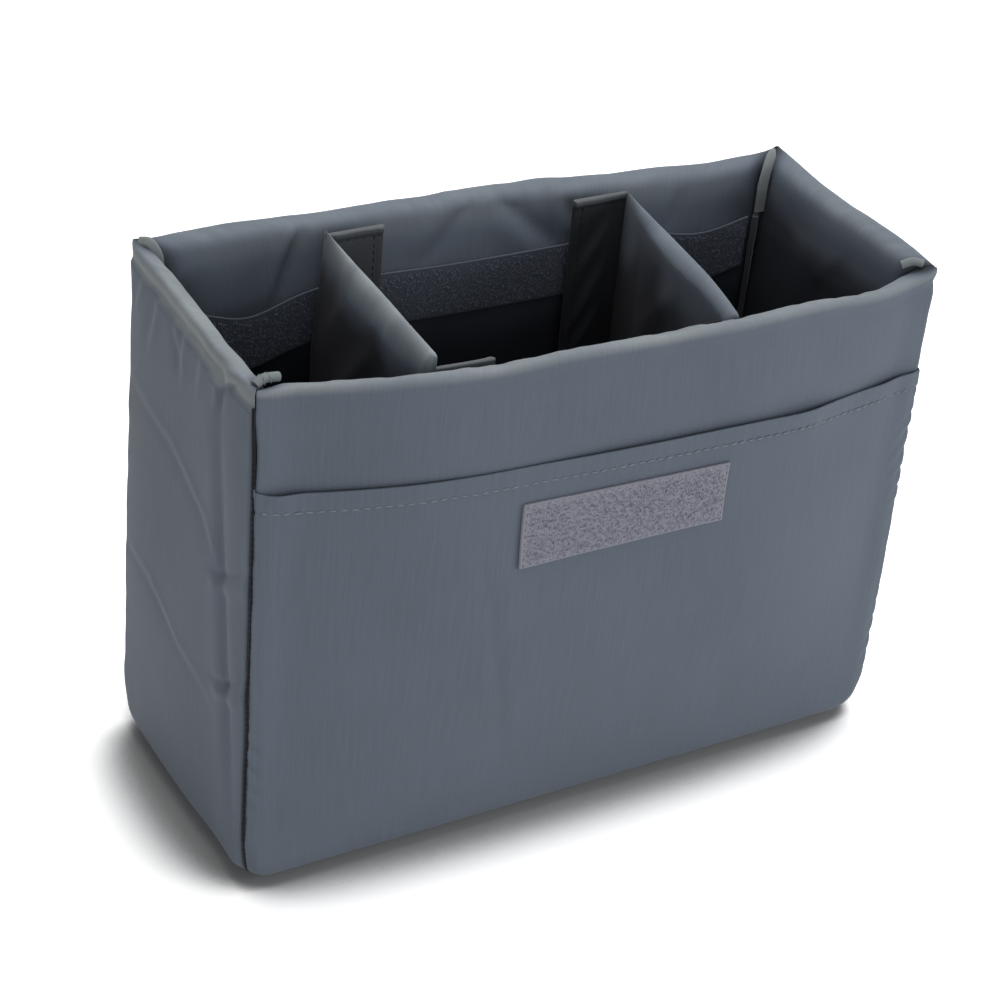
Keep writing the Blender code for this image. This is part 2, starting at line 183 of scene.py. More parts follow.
class InsertColours(bpy.types.PropertyGroup):
    """Colours of the cloth, the tapes and the thread"""

    nylon: colour_property("Nylon", "Slate grey coated nylon", "#666f7b")
    # Pale rims and edges: painted highlight from the light above, and wear
    nylon_wear_and_highlight: colour_property("Nylon Edges", "The same nylon where it is rubbed", "#90979a")
    # Painted shade: the dark that the nylon takes deep in the compartments
    lining_painted_shade: colour_property("Lining", "The nylon deep in the compartments", "#27282f")
    # The flaps' nylon is set darker than the walls'
    flap: colour_property("Flaps", "Charcoal nylon of the dividers' flaps", "#37393d")
    # The flaps' paler top edges: painted highlight, and wear
    flap_edge: colour_property("Flap Edges", "The flaps' folded edges", "#64696d")
    thread_dark: colour_property("Seam Thread", "Thread of the corner seams", "#0e1018")
    thread_light: colour_property("Hem Thread", "Thread of the pocket's hem", "#858c94")
    pile_lilac: colour_property("Patch Pile", "Pile of the fastening patch", "#6d7692")
    edge_lilac: colour_property("Patch Edge", "Woven edge of the fastening patch", "#908f9b")
    pile_charcoal: colour_property("Strip Pile", "Pile of the loop strips", "#7c8699")
    edge_charcoal: colour_property("Strip Edge", "Woven edge of the loop strips", "#565c68")
    hooks: colour_property("Hooks", "Moulded hooks and their tape", "#2c2d31")
    foam: colour_property("Foam", "Foam boards", "#46484c")
    binding: colour_property("Binding", "Seam allowances in the corners", "#4a4f55")
    # The tabs are the walls' nylon painted paler: painted highlight, and wear
    tab: colour_property("Tab", "Rolled ends of the corner seams", "#7d8485")
    floor: colour_property("Floor", "The pale floor under the insert", "#e6e6e6")


def sizes():
    """The sizes as they are set now."""
    return bpy.context.scene.insert_sizes


def colours():
    """The colours as they are set now."""
    return bpy.context.scene.insert_colours


# Materials

def add_node(tree, kind, inputs=None, **settings):
    """A node with its settings, and its inputs as values or as links."""
    node = tree.nodes.new(kind)
    for name, value in settings.items():
        setattr(node, name, value)
    for socket, value in (inputs or {}).items():
        if isinstance(value, bpy.types.NodeSocket):
            tree.links.new(value, node.inputs[socket])
        else:
            node.inputs[socket].default_value = value
    return node


CLOTH_SPECULAR = 0.1           # a weave's yarns shade each other, so little is mirrored
ONE_WAVE = 0.32                # at this scale a wave texture has one band in each unit


def new_material(name, roughness, **surface):
    """A named material, its tree and its Principled shader."""
    material = bpy.data.materials.new(name)
    material.use_nodes = True
    shader = material.node_tree.nodes["Principled BSDF"]
    shader.inputs["Roughness"].default_value = roughness
    shader.inputs["Specular IOR Level"].default_value = CLOTH_SPECULAR
    for socket, value in surface.items():
        shader.inputs[socket.replace("_", " ")].default_value = value
    return material, material.node_tree, shader


def shade(colour, factor):
    """The same colour, lighter or darker."""
    return (*[min(1.0, part * factor) for part in colour], 1.0)


def cloth_place(tree, across, along):
    """Where a point lies on the cloth, in units of across and along, from the piece's own map."""
    place = add_node(tree, "ShaderNodeUVMap", uv_map="cloth").outputs["UV"]
    return add_node(tree, "ShaderNodeMapping", {"Vector": place, "Scale": (1 / across, 1 / along, 1)}
                    ).outputs["Vector"]


def woven_nylon(name, colour, roughness=0.6, sheen=0.1, rubbed=None, lining_painted_shade=None):
    """Plain-weave nylon, coated on its back: even slate with a soft sheen and fine upright streaks.

    The yarns are 0.25 mm apart and would vanish, so they are drawn 0.9 mm apart. On a piece with a
    tone for each point, 0 is painted shade deep inside, 0.5 the plain cloth and 1 an edge painted
    pale, as highlight and wear.
    """
    material, tree, shader = new_material(name, roughness, Sheen_Weight=sheen, Sheen_Roughness=0.4)
    yarns = cloth_place(tree, 0.9 * MM, 0.9 * MM)
    streaks = cloth_place(tree, 0.9 * MM, 26 * MM)
    clouds = cloth_place(tree, 45 * MM, 60 * MM)
    warp, weft = (add_node(tree, "ShaderNodeTexWave", {"Vector": yarns, "Scale": ONE_WAVE, "Detail": 1.0,
                                                       "Distortion": 0.6}, bands_direction=way
                           ).outputs["Fac"] for way in "XY")
    weave = add_node(tree, "ShaderNodeMath", {0: warp, 1: weft}, operation="MULTIPLY").outputs[0]
    streak, cloud = (add_node(tree, "ShaderNodeTexNoise", {"Vector": place, "Scale": 1.0, "Detail": 2.0}
                              ).outputs["Fac"] for place in (streaks, clouds))
    mottle = add_node(tree, "ShaderNodeMix", {"Factor": 0.45, "A": streak, "B": cloud}).outputs["Result"]
    level = add_node(tree, "ShaderNodeMapRange", {"Value": mottle, "From Min": 0.25, "From Max": 0.75,
                                                  "To Min": 0.9, "To Max": 1.1}).outputs["Result"]
    base = tuple(colour)
    # The tone runs from painted shade at 0 over the plain colour to painted highlight and wear at 1
    if rubbed:
        tone = add_node(tree, "ShaderNodeAttribute", attribute_name="tone").outputs["Fac"]
        tones = add_node(tree, "ShaderNodeValToRGB", {"Fac": tone})
        tones.color_ramp.elements[0].color = shade(lining_painted_shade, 1.0)
        tones.color_ramp.elements[1].color = shade(rubbed, 1.0)
        tones.color_ramp.elements.new(0.5).color = shade(colour, 1.0)
        base = tones.outputs["Color"]
    tinted = add_node(tree, "ShaderNodeVectorMath", {0: base, "Scale": level}, operation="SCALE")
    tree.links.new(tinted.outputs[0], shader.inputs["Base Color"])
    relief = add_node(tree, "ShaderNodeMath", {0: weave, 1: streak}, operation="ADD").outputs[0]
    bump = add_node(tree, "ShaderNodeBump", {"Height": relief, "Strength": 0.35, "Distance": 0.06 * MM})
    tree.links.new(bump.outputs["Normal"], shader.inputs["Normal"])
    return material


def spun_thread(name, colour):
    """Polyester sewing thread, twisted from three plies: matt, with a fine slant of light and dark."""
    material, tree, shader = new_material(name, 0.6, Sheen_Weight=0.1)
    place = add_node(tree, "ShaderNodeTexCoord").outputs["Object"]
    plies = add_node(tree, "ShaderNodeTexWave", {"Vector": place, "Scale": 900.0, "Distortion": 2.0},
                     bands_direction="DIAGONAL").outputs["Fac"]
    tint = add_node(tree, "ShaderNodeValToRGB", {"Fac": plies})
    tint.color_ramp.elements[0].color = shade(colour, 0.75)
    tint.color_ramp.elements[1].color = shade(colour, 1.2)
    tree.links.new(tint.outputs["Color"], shader.inputs["Base Color"])
    return material


def brushed_pile(name, colour, fleck):
    """Brushed nylon loops: dull and deep, with single loops that catch the light as pale flecks."""
    material, tree, shader = new_material(name, 0.75, Sheen_Weight=0.4, Sheen_Roughness=0.5)
    place = add_node(tree, "ShaderNodeTexCoord").outputs["Object"]
    grain = add_node(tree, "ShaderNodeTexNoise", {"Vector": place, "Scale": 1 / (1.1 * MM),
                                                  "Detail": 2.0}).outputs["Fac"]
    tufts = add_node(tree, "ShaderNodeTexNoise", {"Vector": place, "Scale": 1 / (2.6 * MM)}).outputs["Fac"]
    mottle = add_node(tree, "ShaderNodeMix", {"Factor": 0.5, "A": grain, "B": tufts}).outputs["Result"]
    tint = add_node(tree, "ShaderNodeValToRGB", {"Fac": mottle})
    tint.color_ramp.elements[0].position = 0.36
    tint.color_ramp.elements[0].color = shade(colour, 0.7)
    tint.color_ramp.elements[1].position = 0.72
    tint.color_ramp.elements[1].color = shade(fleck, 1.0)
    middle = tint.color_ramp.elements.new(0.52)
    middle.color = shade(colour, 1.0)
    tree.links.new(tint.outputs["Color"], shader.inputs["Base Color"])
    return material


def woven_tape(name, colour):
    """Narrow woven nylon tape: fine ribs across its edge, a little shinier than the cloth."""
    material, tree, shader = new_material(name, 0.55, Sheen_Weight=0.2)
    yarns = cloth_place(tree, 0.7 * MM, 0.7 * MM)
    ribs = add_node(tree, "ShaderNodeTexWave", {"Vector": yarns, "Scale": ONE_WAVE, "Distortion": 0.8},
                    bands_direction="X").outputs["Fac"]
    grain = add_node(tree, "ShaderNodeTexNoise", {"Vector": yarns, "Scale": 0.7, "Detail": 2.0}
                     ).outputs["Fac"]
    mottle = add_node(tree, "ShaderNodeMix", {"Factor": 0.5, "A": ribs, "B": grain}).outputs["Result"]
    tint = add_node(tree, "ShaderNodeValToRGB", {"Fac": mottle})
    tint.color_ramp.elements[0].color = shade(colour, 0.75)
    tint.color_ramp.elements[1].color = shade(colour, 1.2)
    tree.links.new(tint.outputs["Color"], shader.inputs["Base Color"])
    bump = add_node(tree, "ShaderNodeBump", {"Height": ribs, "Strength": 0.4, "Distance": 0.08 * MM})
    tree.links.new(bump.outputs["Normal"], shader.inputs["Normal"])
    return material


def moulded_hooks(name, colour):
    """Moulded nylon hooks: dark, translucent-looking monofilament with small glints."""
    material, tree, shader = new_material(name, 0.35, Specular_IOR_Level=0.5)
    place = add_node(tree, "ShaderNodeTexCoord").outputs["Object"]
    grain = add_node(tree, "ShaderNodeTexNoise", {"Vector": place, "Scale": 1 / (3 * MM)}).outputs["Fac"]
    tint = add_node(tree, "ShaderNodeValToRGB", {"Fac": grain})
    tint.color_ramp.elements[0].color = shade(colour, 0.8)
    tint.color_ramp.elements[1].color = shade(colour, 1.3)
    tree.links.new(tint.outputs["Color"], shader.inputs["Base Color"])
    return material


def closed_cell_foam(name, colour):
    """Closed-cell polyethylene foam cut from sheet: matt, with fine pores on its faces."""
    material, tree, shader = new_material(name, 0.9)
    place = add_node(tree, "ShaderNodeTexCoord").outputs["Object"]
    cells = add_node(tree, "ShaderNodeTexVoronoi", {"Vector": place, "Scale": 1 / (0.9 * MM)}
                     ).outputs["Distance"]
    tint = add_node(tree, "ShaderNodeValToRGB", {"Fac": cells})
    tint.color_ramp.elements[0].color = shade(colour, 0.8)
    tint.color_ramp.elements[1].color = shade(colour, 1.15)
    tree.links.new(tint.outputs["Color"], shader.inputs["Base Color"])
    bump = add_node(tree, "ShaderNodeBump", {"Height": cells, "Strength": 0.5, "Distance": 0.2 * MM})
    tree.links.new(bump.outputs["Normal"], shader.inputs["Normal"])
    return material


FINISHES = {
    "nylon": lambda: woven_nylon("slate_woven_nylon", colours().nylon),
    # Nylon of the walls and sleeves: painted highlight and wear on the rims, painted shade inside
    "walls": lambda: woven_nylon("slate_woven_nylon_over_padding", colours().nylon,
                                 rubbed=colours().nylon_wear_and_highlight, lining_painted_shade=colours().lining_painted_shade),
    # The floor lining's nylon takes the painted shade of the deep compartments as its colour
    "lining_painted_shade": lambda: woven_nylon("slate_woven_nylon_lining", colours().lining_painted_shade, 0.6, 0.1),
    # Flaps: nylon set darker than the walls', with painted highlight and wear on their top edges
    "flap": lambda: woven_nylon("charcoal_woven_nylon", colours().flap, 0.42, 0.12,
                                rubbed=colours().flap_edge, lining_painted_shade=colours().flap),
    "binding": lambda: woven_nylon("dark_woven_nylon_binding", colours().binding, 0.65, 0.2),
    # Tabs: painted highlight and wear
    "tab": lambda: woven_nylon("rubbed_woven_nylon", colours().tab, 0.6, 0.1),
    "seam_thread": lambda: spun_thread("dark_spun_polyester_thread", colours().thread_dark),
    "hem_thread": lambda: spun_thread("pale_spun_polyester_thread", colours().thread_light),
    "patch_pile": lambda: brushed_pile("lilac_brushed_nylon_pile", colours().pile_lilac,
                                       shade(colours().pile_lilac, 1.5)[:3]),
    "patch_edge": lambda: woven_tape("lilac_woven_nylon_tape", colours().edge_lilac),
    "strip_pile": lambda: brushed_pile("charcoal_brushed_nylon_pile", colours().pile_charcoal,
                                       colours().edge_charcoal),
    "strip_edge": lambda: woven_tape("charcoal_woven_nylon_tape", colours().edge_charcoal),
    "hooks": lambda: moulded_hooks("moulded_nylon_hooks", colours().hooks),
    "hook_tape": lambda: woven_tape("dark_woven_nylon_tape", colours().hooks),
    "foam": lambda: closed_cell_foam("closed_cell_polyethylene_foam", colours().foam),
}
made_finishes = {}


def finish(name):
    """The material of that finish, made when it is first asked for."""
    if name not in made_finishes:
        made_finishes[name] = FINISHES[name]()
    return made_finishes[name]


# Curves and noise

def smooth_step(low, high, value):
    """0 up to low, 1 from high, and a smooth rise between."""
    share = np.clip((value - low) / (high - low), 0, 1)
    return share * share * (3 - 2 * share)


def smooth_noise(u, v, seed):
    """Smooth noise from -1 to 1 over a lattice of unit spacing."""
    def corner(i, j):
        hashed = np.sin(i * 12.9898 + j * 78.233 + seed * 37.719) * 43758.5453
        return 2 * (hashed - np.floor(hashed)) - 1

    u, v = np.broadcast_arrays(np.asarray(u, float), np.asarray(v, float))
    iu, iv = np.floor(u), np.floor(v)
    fu, fv = u - iu, v - iv
    fu, fv = fu * fu * (3 - 2 * fu), fv * fv * (3 - 2 * fv)
    low = corner(iu, iv) * (1 - fu) + corner(iu + 1, iv) * fu
    high = corner(iu, iv + 1) * (1 - fu) + corner(iu + 1, iv + 1) * fu
    return low * (1 - fv) + high * fv


def gathers(along, away, spacing, reach, seed):
    """The small ripples that a sewn seam draws in the cloth beside it, fading over reach."""
    slant = along + 0.25 * away * smooth_noise(along / (5 * spacing), 0, seed + 1)
    ripple = smooth_noise(slant / spacing, away / (4 * reach), seed)
    size = 0.6 + 0.4 * smooth_noise(along / (6 * spacing), 0, seed + 2)
    return ripple * size * np.exp(-away / reach)


def fold(a, z, line, width, height, lean):
    """A crease along a line of (a, z) points in millimetres: a ridge, or a valley where height < 0.

    Its crest is sharp, because creased cloth turns from one plane to the next. lean is the share of
    its height that a crease of the other sign has beside it, to the left of the line's direction.
    """
    points = [Vector(p) * MM for p in line]
    lengths = [(q - p).length for p, q in zip(points, points[1:])]
    total = sum(lengths)
    nearest = np.full(np.shape(a), 1e9)
    side = np.zeros(np.shape(a))
    travel = np.zeros(np.shape(a))
    done = 0.0
    for p, q, length in zip(points, points[1:], lengths):
        step = (q - p) / length
        run = np.clip((a - p.x) * step.x + (z - p.y) * step.y, 0, length)
        off_a, off_z = a - p.x - run * step.x, z - p.y - run * step.y
        distance = np.hypot(off_a, off_z)
        closer = distance < nearest
        nearest = np.where(closer, distance, nearest)
        side = np.where(closer, np.sign(step.x * off_z - step.y * off_a) * distance, side)
        travel = np.where(closer, (done + run) / total, travel)
        done += length
    fade = np.sin(np.pi * np.clip(travel, 0.001, 0.999)) ** 0.6
    width = width * MM
    main = np.exp(-((nearest / width) ** 1.25))
    beside = np.exp(-(((side - 2.2 * width) / (1.7 * width)) ** 2))
    return height * MM * fade * (main - lean * beside)


def creases(a, z, lines, origin=0.0):
    """The sum of several creases, whose lines count their second places from origin."""
    return sum(fold(a, z, [(p, origin + q) for p, q in line], width, height, lean)
               for line, width, height, lean in lines)

# Each crease has a line of places in millimetres, a width, a height and a lean. Creases count their
# places up from the floor, and tucks and lining folds along the cloth from near the rim.
BACK_TUCKS = (
    (((-76, -1), (-78.7, 4), (-84.5, 14), (-93, 30)), 2.2, -2.6, 0.5),
    (((0, 0), (-8.2, 6), (-15.2, 14), (-24, 24)), 3.4, -2.0, 0.5),
    (((10, 1), (21.8, 8), (37.7, 20), (46, 27)), 3.6, -2.4, 0.5),
    (((42, 2), (46, 8), (52, 14)), 2.4, -1.4, 0.5),
    (((100, 4), (97, 12), (95, 22)), 2.4, -1.0, 0.5),
)
LEFT_CREASES = (
    (((-31, 196), (-31.5, 178), (-36, 130), (-40, 102), (-46, 50), (-49, 18)), 3.4, -1.4, 0.35),
    (((54, 162), (49, 161), (12, 156.7), (-20, 144), (-30, 135), (-37, 124)), 1.9, 0.5, 0.8),
    (((56, 92), (48.7, 91), (28.6, 89.8), (0, 77.5), (-18, 74), (-34, 68)), 1.9, 0.5, 0.8),
    (((-24, 123), (-40, 129.3), (-50, 136), (-57, 143)), 1.8, -1.3, 0.8),
    (((-28, 80), (-43.7, 85), (-52, 92), (-58, 100)), 1.8, -1.5, 0.8),
)
LEFT_RIM_TUCKS = (
    (((-53, 6), (-45, 4), (-33, -4), (-30, -16)), 1.5, -1.5, 0.6),
    (((24, 1), (27, -8), (34, -27)), 1.9, 0.55, 0.8),
    (((40, 1), (43, -6), (48, -16)), 1.7, 0.5, 0.8),
    (((-2, 1), (1, -6), (4, -24)), 1.8, 0.6, 0.9),
    (((10, 1), (9, -5), (3, -15)), 1.7, 0.5, 0.8),
    (((-15, 0), (-14, -8), (-11, -20)), 1.8, 0.45, 0.8),
)
RIGHT_CREASES = (
    (((-48, 60), (-10, 84), (30, 96), (50, 100)), 4, 0.7, 0.7),
    (((-40, 150), (0, 158), (40, 170)), 4, 0.7, 0.7),
)
RIGHT_LINING_FOLDS = (
    (((34, 2), (18, 18), (-6, 32), (-30, 40)), 6, -0.5, 0.6),
    (((-20, 0), (-8, 16), (8, 30)), 4, 0.3, 0.6),
)
POCKET_CREASES = (
    (((-56, 140), (-50, 112), (-45, 88), (-40, 60), (-36, 34)), 2.4, -0.5, 0.5),
    (((-122, 99), (-108, 94), (-90, 91)), 1.8, 0.4, 0.5),
)

def spread(low, high, fine, coarse, growth=1.18):
    """Places from low to high, fine apart beside both ends and coarse apart in the middle."""
    steps = [0.0]
    gap = fine
    while steps[-1] < (high - low) / 2:
        steps.append(steps[-1] + gap)
        gap = min(coarse, gap * growth)
    half = np.array(steps) * (high - low) / 2 / steps[-1]
    return np.concatenate([low + half, high - half[-2::-1]])


# Meshes

def add_piece(name, mesh, finish_name):
    """An object of this mesh in the scene, shaded smooth."""
    mesh.materials.append(finish(finish_name))
    mesh.shade_smooth()
    piece = bpy.data.objects.new(name, mesh)
    bpy.context.scene.collection.objects.link(piece)
    return piece


def grid_mesh(name, points, cloth_u, cloth_v, flip=False):
    """A mesh over rows and columns of points, with each point's place on the cloth as its map."""
    rows, columns = points.shape[:2]
    index = np.arange(rows * columns).reshape(rows, columns)
    quads = np.stack([index[:-1, :-1], index[:-1, 1:], index[1:, 1:], index[1:, :-1]], -1).reshape(-1, 4)
    if flip:
        quads = quads[:, ::-1]
    mesh = bpy.data.meshes.new(name)
    mesh.from_pydata(points.reshape(-1, 3), [], quads.tolist())
    cloth = mesh.uv_layers.new(name="cloth")
    places = np.stack(np.broadcast_arrays(cloth_u, cloth_v), -1).reshape(-1, 2)
    corners = np.zeros(len(mesh.loops), np.int32)
    mesh.loops.foreach_get("vertex_index", corners)
    cloth.data.foreach_set("uv", places[corners].astype(np.float32).ravel())
    return mesh


def set_tone(mesh, tone):
    """Give each point of a mesh its tone, from painted shade over plain cloth to painted highlight and wear.
    """
    attribute = mesh.attributes.new("tone", "FLOAT", "POINT")
    attribute.data.foreach_set("value", np.clip(tone, 0, 1).astype(np.float32).ravel())


def freeze(piece):
    """Turn a piece's modifiers into its plain mesh."""
    bpy.context.view_layer.update()
    evaluated = piece.evaluated_get(bpy.context.evaluated_depsgraph_get())
    mesh = bpy.data.meshes.new_from_object(evaluated, preserve_all_data_layers=True,
                                           depsgraph=bpy.context.evaluated_depsgraph_get())
    piece.modifiers.clear()
    piece.data = mesh
    return piece


def thicken(piece, thickness):
    """Give a sheet its thickness, inwards from its outer face."""
    wall = piece.modifiers.new("Thickness", "SOLIDIFY")
    wall.thickness = thickness
    wall.offset = -1
    wall.use_even_offset = False
    return freeze(piece)


def join(name, parts):
    """Several meshes' objects as one piece."""
    first = parts[0]
    with bpy.context.temp_override(active_object=first, selected_editable_objects=parts):
        bpy.ops.object.join()
    first.name = name
    first.data.name = name
    return first


def settle(piece, body, nodes=()):
    """Fix a finished piece to its body, and hide the frame's nodes that it stands for."""
    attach(piece, body)
    if nodes:
        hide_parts(*nodes)
    return piece


# Geometry node trees

def new_tree(name, sockets):
    """An empty tree with these inputs, its group input and a way to close it."""
    tree = bpy.data.node_groups.new(name, "GeometryNodeTree")
    tree.interface.new_socket("Geometry", in_out="INPUT", socket_type="NodeSocketGeometry")
    for socket, kind in sockets:
        tree.interface.new_socket(socket, in_out="INPUT", socket_type="NodeSocket" + kind)
    tree.interface.new_socket("Geometry", in_out="OUTPUT", socket_type="NodeSocketGeometry")
    return tree, add_node(tree, "NodeGroupInput").outputs


def close_tree(tree, geometry, material):
    """End a tree with real geometry that has its material."""
    real = add_node(tree, "GeometryNodeRealizeInstances", {"Geometry": geometry}).outputs[0]
    smooth = add_node(tree, "GeometryNodeSetShadeSmooth", {"Geometry": real}).outputs[0]
    dressed = add_node(tree, "GeometryNodeSetMaterial", {"Geometry": smooth, "Material": material})
    add_node(tree, "NodeGroupOutput", {"Geometry": dressed.outputs[0]})
    return tree


def bent_tube(tree, height, wire, start, sweep, caps):
    """A short tube bent round part of a circle, standing up."""
    radius = add_node(tree, "ShaderNodeMath", {0: height, 1: 0.5}, operation="MULTIPLY").outputs[0]
    arc = add_node(tree, "GeometryNodeCurveArc", {"Resolution": 5, "Radius": radius, "Start Angle": start,
                                                  "Sweep Angle": sweep}).outputs[0]
    ring = add_node(tree, "GeometryNodeCurvePrimitiveCircle", {"Resolution": 3, "Radius": wire}).outputs[0]
    tube = add_node(tree, "GeometryNodeCurveToMesh", {"Curve": arc, "Profile Curve": ring,
                                                      "Fill Caps": caps}).outputs[0]
    return add_node(tree, "GeometryNodeTransform", {"Geometry": tube,
                                                    "Rotation": (math.pi / 2, 0, 0)}).outputs[0]

def turn_at_random(tree, rotation, most, seed):
    """Each copy's rotation, turned further about its own axes by at most these angles each way."""
    turns = add_node(tree, "FunctionNodeRandomValue", {"Min": tuple(-angle for angle in most), "Max": most,
                                                       "Seed": seed}, data_type="FLOAT_VECTOR")
    return add_node(tree, "FunctionNodeRotateRotation", {"Rotation": rotation,
                                                         "Rotate By": turns.outputs[0]},
                    rotation_space="LOCAL").outputs[0]

def stitch_tree():
    """Stitches laid end to end along a line: each one a short thread with drawn-in ends."""
    tree, given = new_tree("stitch_row", [("Pitch", "Float"), ("Length", "Float"), ("Thread", "Float"),
                                          ("Seed", "Int"), ("Material", "Material")])
    line = add_node(tree, "GeometryNodeMeshToCurve", {"Mesh": given["Geometry"]}).outputs[0]
    spaced = add_node(tree, "GeometryNodeResampleCurve", {"Curve": line, "Length": given["Pitch"]},
                      mode="LENGTH").outputs[0]
    tangent = add_node(tree, "GeometryNodeInputTangent").outputs[0]
    turned = add_node(tree, "FunctionNodeAlignRotationToVector", {"Vector": tangent}, axis="Z").outputs[0]
    turned = turn_at_random(tree, turned, (0.1, 0.1, 0), given["Seed"])
    thread = add_node(tree, "ShaderNodeCombineXYZ", {"X": given["Thread"], "Y": given["Thread"],
                                                     "Z": given["Length"]}).outputs[0]
    bead = add_node(tree, "GeometryNodeMeshUVSphere", {"Segments": 6, "Rings": 5, "Radius": 0.5}).outputs[0]
    rows = add_node(tree, "GeometryNodeInstanceOnPoints", {"Points": spaced, "Instance": bead,
                                                           "Rotation": turned, "Scale": thread}).outputs[0]
    return close_tree(tree, rows, given["Material"])


def pile_tree():
    """Loops standing at random over a surface, each a short bent tube."""
    tree, given = new_tree("loop_pile", [("Density", "Float"), ("Height", "Float"), ("Yarn", "Float"),
                                         ("Seed", "Int"), ("Material", "Material")])
    points = add_node(tree, "GeometryNodeDistributePointsOnFaces",
                      {"Mesh": given["Geometry"], "Density": given["Density"], "Seed": given["Seed"]})
    loop = bent_tube(tree, given["Height"], given["Yarn"], -0.5, 4.1, False)
    turned = turn_at_random(tree, points.outputs["Rotation"], (0.9, 0.9, math.pi), given["Seed"])
    size = add_node(tree, "FunctionNodeRandomValue", {2: 0.55, 3: 1.35, "Seed": given["Seed"]})
    loops = add_node(tree, "GeometryNodeInstanceOnPoints",
                     {"Points": points.outputs["Points"], "Instance": loop, "Rotation": turned,
                      "Scale": size.outputs[1]}).outputs[0]
    return close_tree(tree, loops, given["Material"])


def hook_tree():
    """A moulded hook on every point of a tape's grid, its tip bent back over its foot."""
    tree, given = new_tree("hook_rows", [("Height", "Float"), ("Wire", "Float"), ("Seed", "Int"),
                                         ("Material", "Material")])
    hook = bent_tube(tree, given["Height"], given["Wire"], -0.6, 3.6, True)
    normal = add_node(tree, "GeometryNodeInputNormal").outputs[0]
    turned = add_node(tree, "FunctionNodeAlignRotationToVector", {"Vector": normal}, axis="Z").outputs[0]
    turned = turn_at_random(tree, turned, (0.2, 0.2, 0.5), given["Seed"])
    hooks = add_node(tree, "GeometryNodeInstanceOnPoints", {"Points": given["Geometry"], "Instance": hook,
                                                            "Rotation": turned}).outputs[0]
    return close_tree(tree, hooks, given["Material"])


def binding_tree():
    """A folded tape swept up a corner: its outline follows the path and closes at both ends."""
    tree, given = new_tree("folded_binding", [("Thickness", "Float"), ("Length", "Float"), ("Turn", "Float"),
                                              ("Waviness", "Float"), ("Material", "Material")])
    path = add_node(tree, "GeometryNodeMeshToCurve", {"Mesh": given["Geometry"]}).outputs[0]
    path = add_node(tree, "GeometryNodeSetCurveTilt", {"Curve": path, "Tilt": given["Turn"]}).outputs[0]
    outline = add_node(tree, "GeometryNodeCurvePrimitiveQuadrilateral",
                       {"Width": given["Length"], "Height": given["Thickness"]}).outputs[0]
    rounding = add_node(tree, "ShaderNodeMath", {0: given["Thickness"], 1: 0.49}, operation="MULTIPLY")
    outline = add_node(tree, "GeometryNodeFilletCurve", {"Curve": outline, "Radius": rounding.outputs[0],
                                                         "Count": 4}, mode="POLY").outputs[0]
    swept = add_node(tree, "GeometryNodeCurveToMesh", {"Curve": path, "Profile Curve": outline,
                                                       "Fill Caps": True}).outputs[0]
    place = add_node(tree, "GeometryNodeInputPosition").outputs[0]
    wave = add_node(tree, "ShaderNodeTexNoise", {"Vector": place, "Scale": 1 / (16 * MM)}).outputs["Color"]
    middle = add_node(tree, "ShaderNodeVectorMath", {0: wave, 1: (0.5, 0.5, 0.5)}, operation="SUBTRACT")
    shift = add_node(tree, "ShaderNodeVectorMath", {0: middle.outputs[0], "Scale": given["Waviness"]},
                     operation="SCALE").outputs[0]
    waved = add_node(tree, "GeometryNodeSetPosition", {"Geometry": swept, "Offset": shift}).outputs[0]
    return close_tree(tree, waved, given["Material"])


TREE_MAKERS = {"stitches": stitch_tree, "pile": pile_tree, "hooks": hook_tree, "binding": binding_tree}
made_trees = {}


def grow(name, mesh, tree_name, **values):
    """Run a tree on a bare mesh and keep what it makes as a plain piece."""
    if tree_name not in made_trees:
        made_trees[tree_name] = TREE_MAKERS[tree_name]()
    tree = made_trees[tree_name]
    seedling = bpy.data.objects.new(name, mesh)
    bpy.context.scene.collection.objects.link(seedling)
    modifier = seedling.modifiers.new(tree.name, "NODES")
    modifier.node_group = tree
    for item in tree.interface.items_tree:
        if item.in_out == "INPUT" and item.name in values:
            modifier[item.identifier] = values[item.name]
    return freeze(seedling)


def line_mesh(name, points):
    """A bare mesh of one line through these points."""
    mesh = bpy.data.meshes.new(name)
    mesh.from_pydata([tuple(p) for p in points], [(i, i + 1) for i in range(len(points) - 1)], [])
    return mesh


def stitch_row(name, points, pitch, thread, finish_name, share, seed):
    """A row of stitches along these points, each as long as its share of the pitch."""
    return grow(name, line_mesh(name, points), "stitches", Pitch=pitch, Length=pitch * share,
                Thread=thread, Seed=seed, Material=finish(finish_name))


# The walls

def bow_share(x):
    """1 over the flat middle of the front, easing to 0 beside the corners."""
    past = np.maximum(0, np.abs(x) - BOW_FLAT_WIDTH / 2) / (BOW_HALF_WIDTH - BOW_FLAT_WIDTH / 2)
    left = 1 - past ** 2
    return (left + np.sqrt(left ** 2 + BOW_EASE ** 2)) / (1 + math.hypot(1, BOW_EASE))


OUTER_START = math.pi / 2 * FOOT_RADIUS
OUTER_LENGTH = HEIGHT - RIM_RADIUS - WALL_LIFT - FOOT_RADIUS
RIM_START = OUTER_START + OUTER_LENGTH
INNER_START = RIM_START + math.pi * RIM_RADIUS
SECTION_END = INNER_START + HEIGHT - RIM_RADIUS - FLOOR + FLOOR_TUCK
UNDER_WIDTH = 2 * MM           # flat stretch of the walls' cloth under the foot


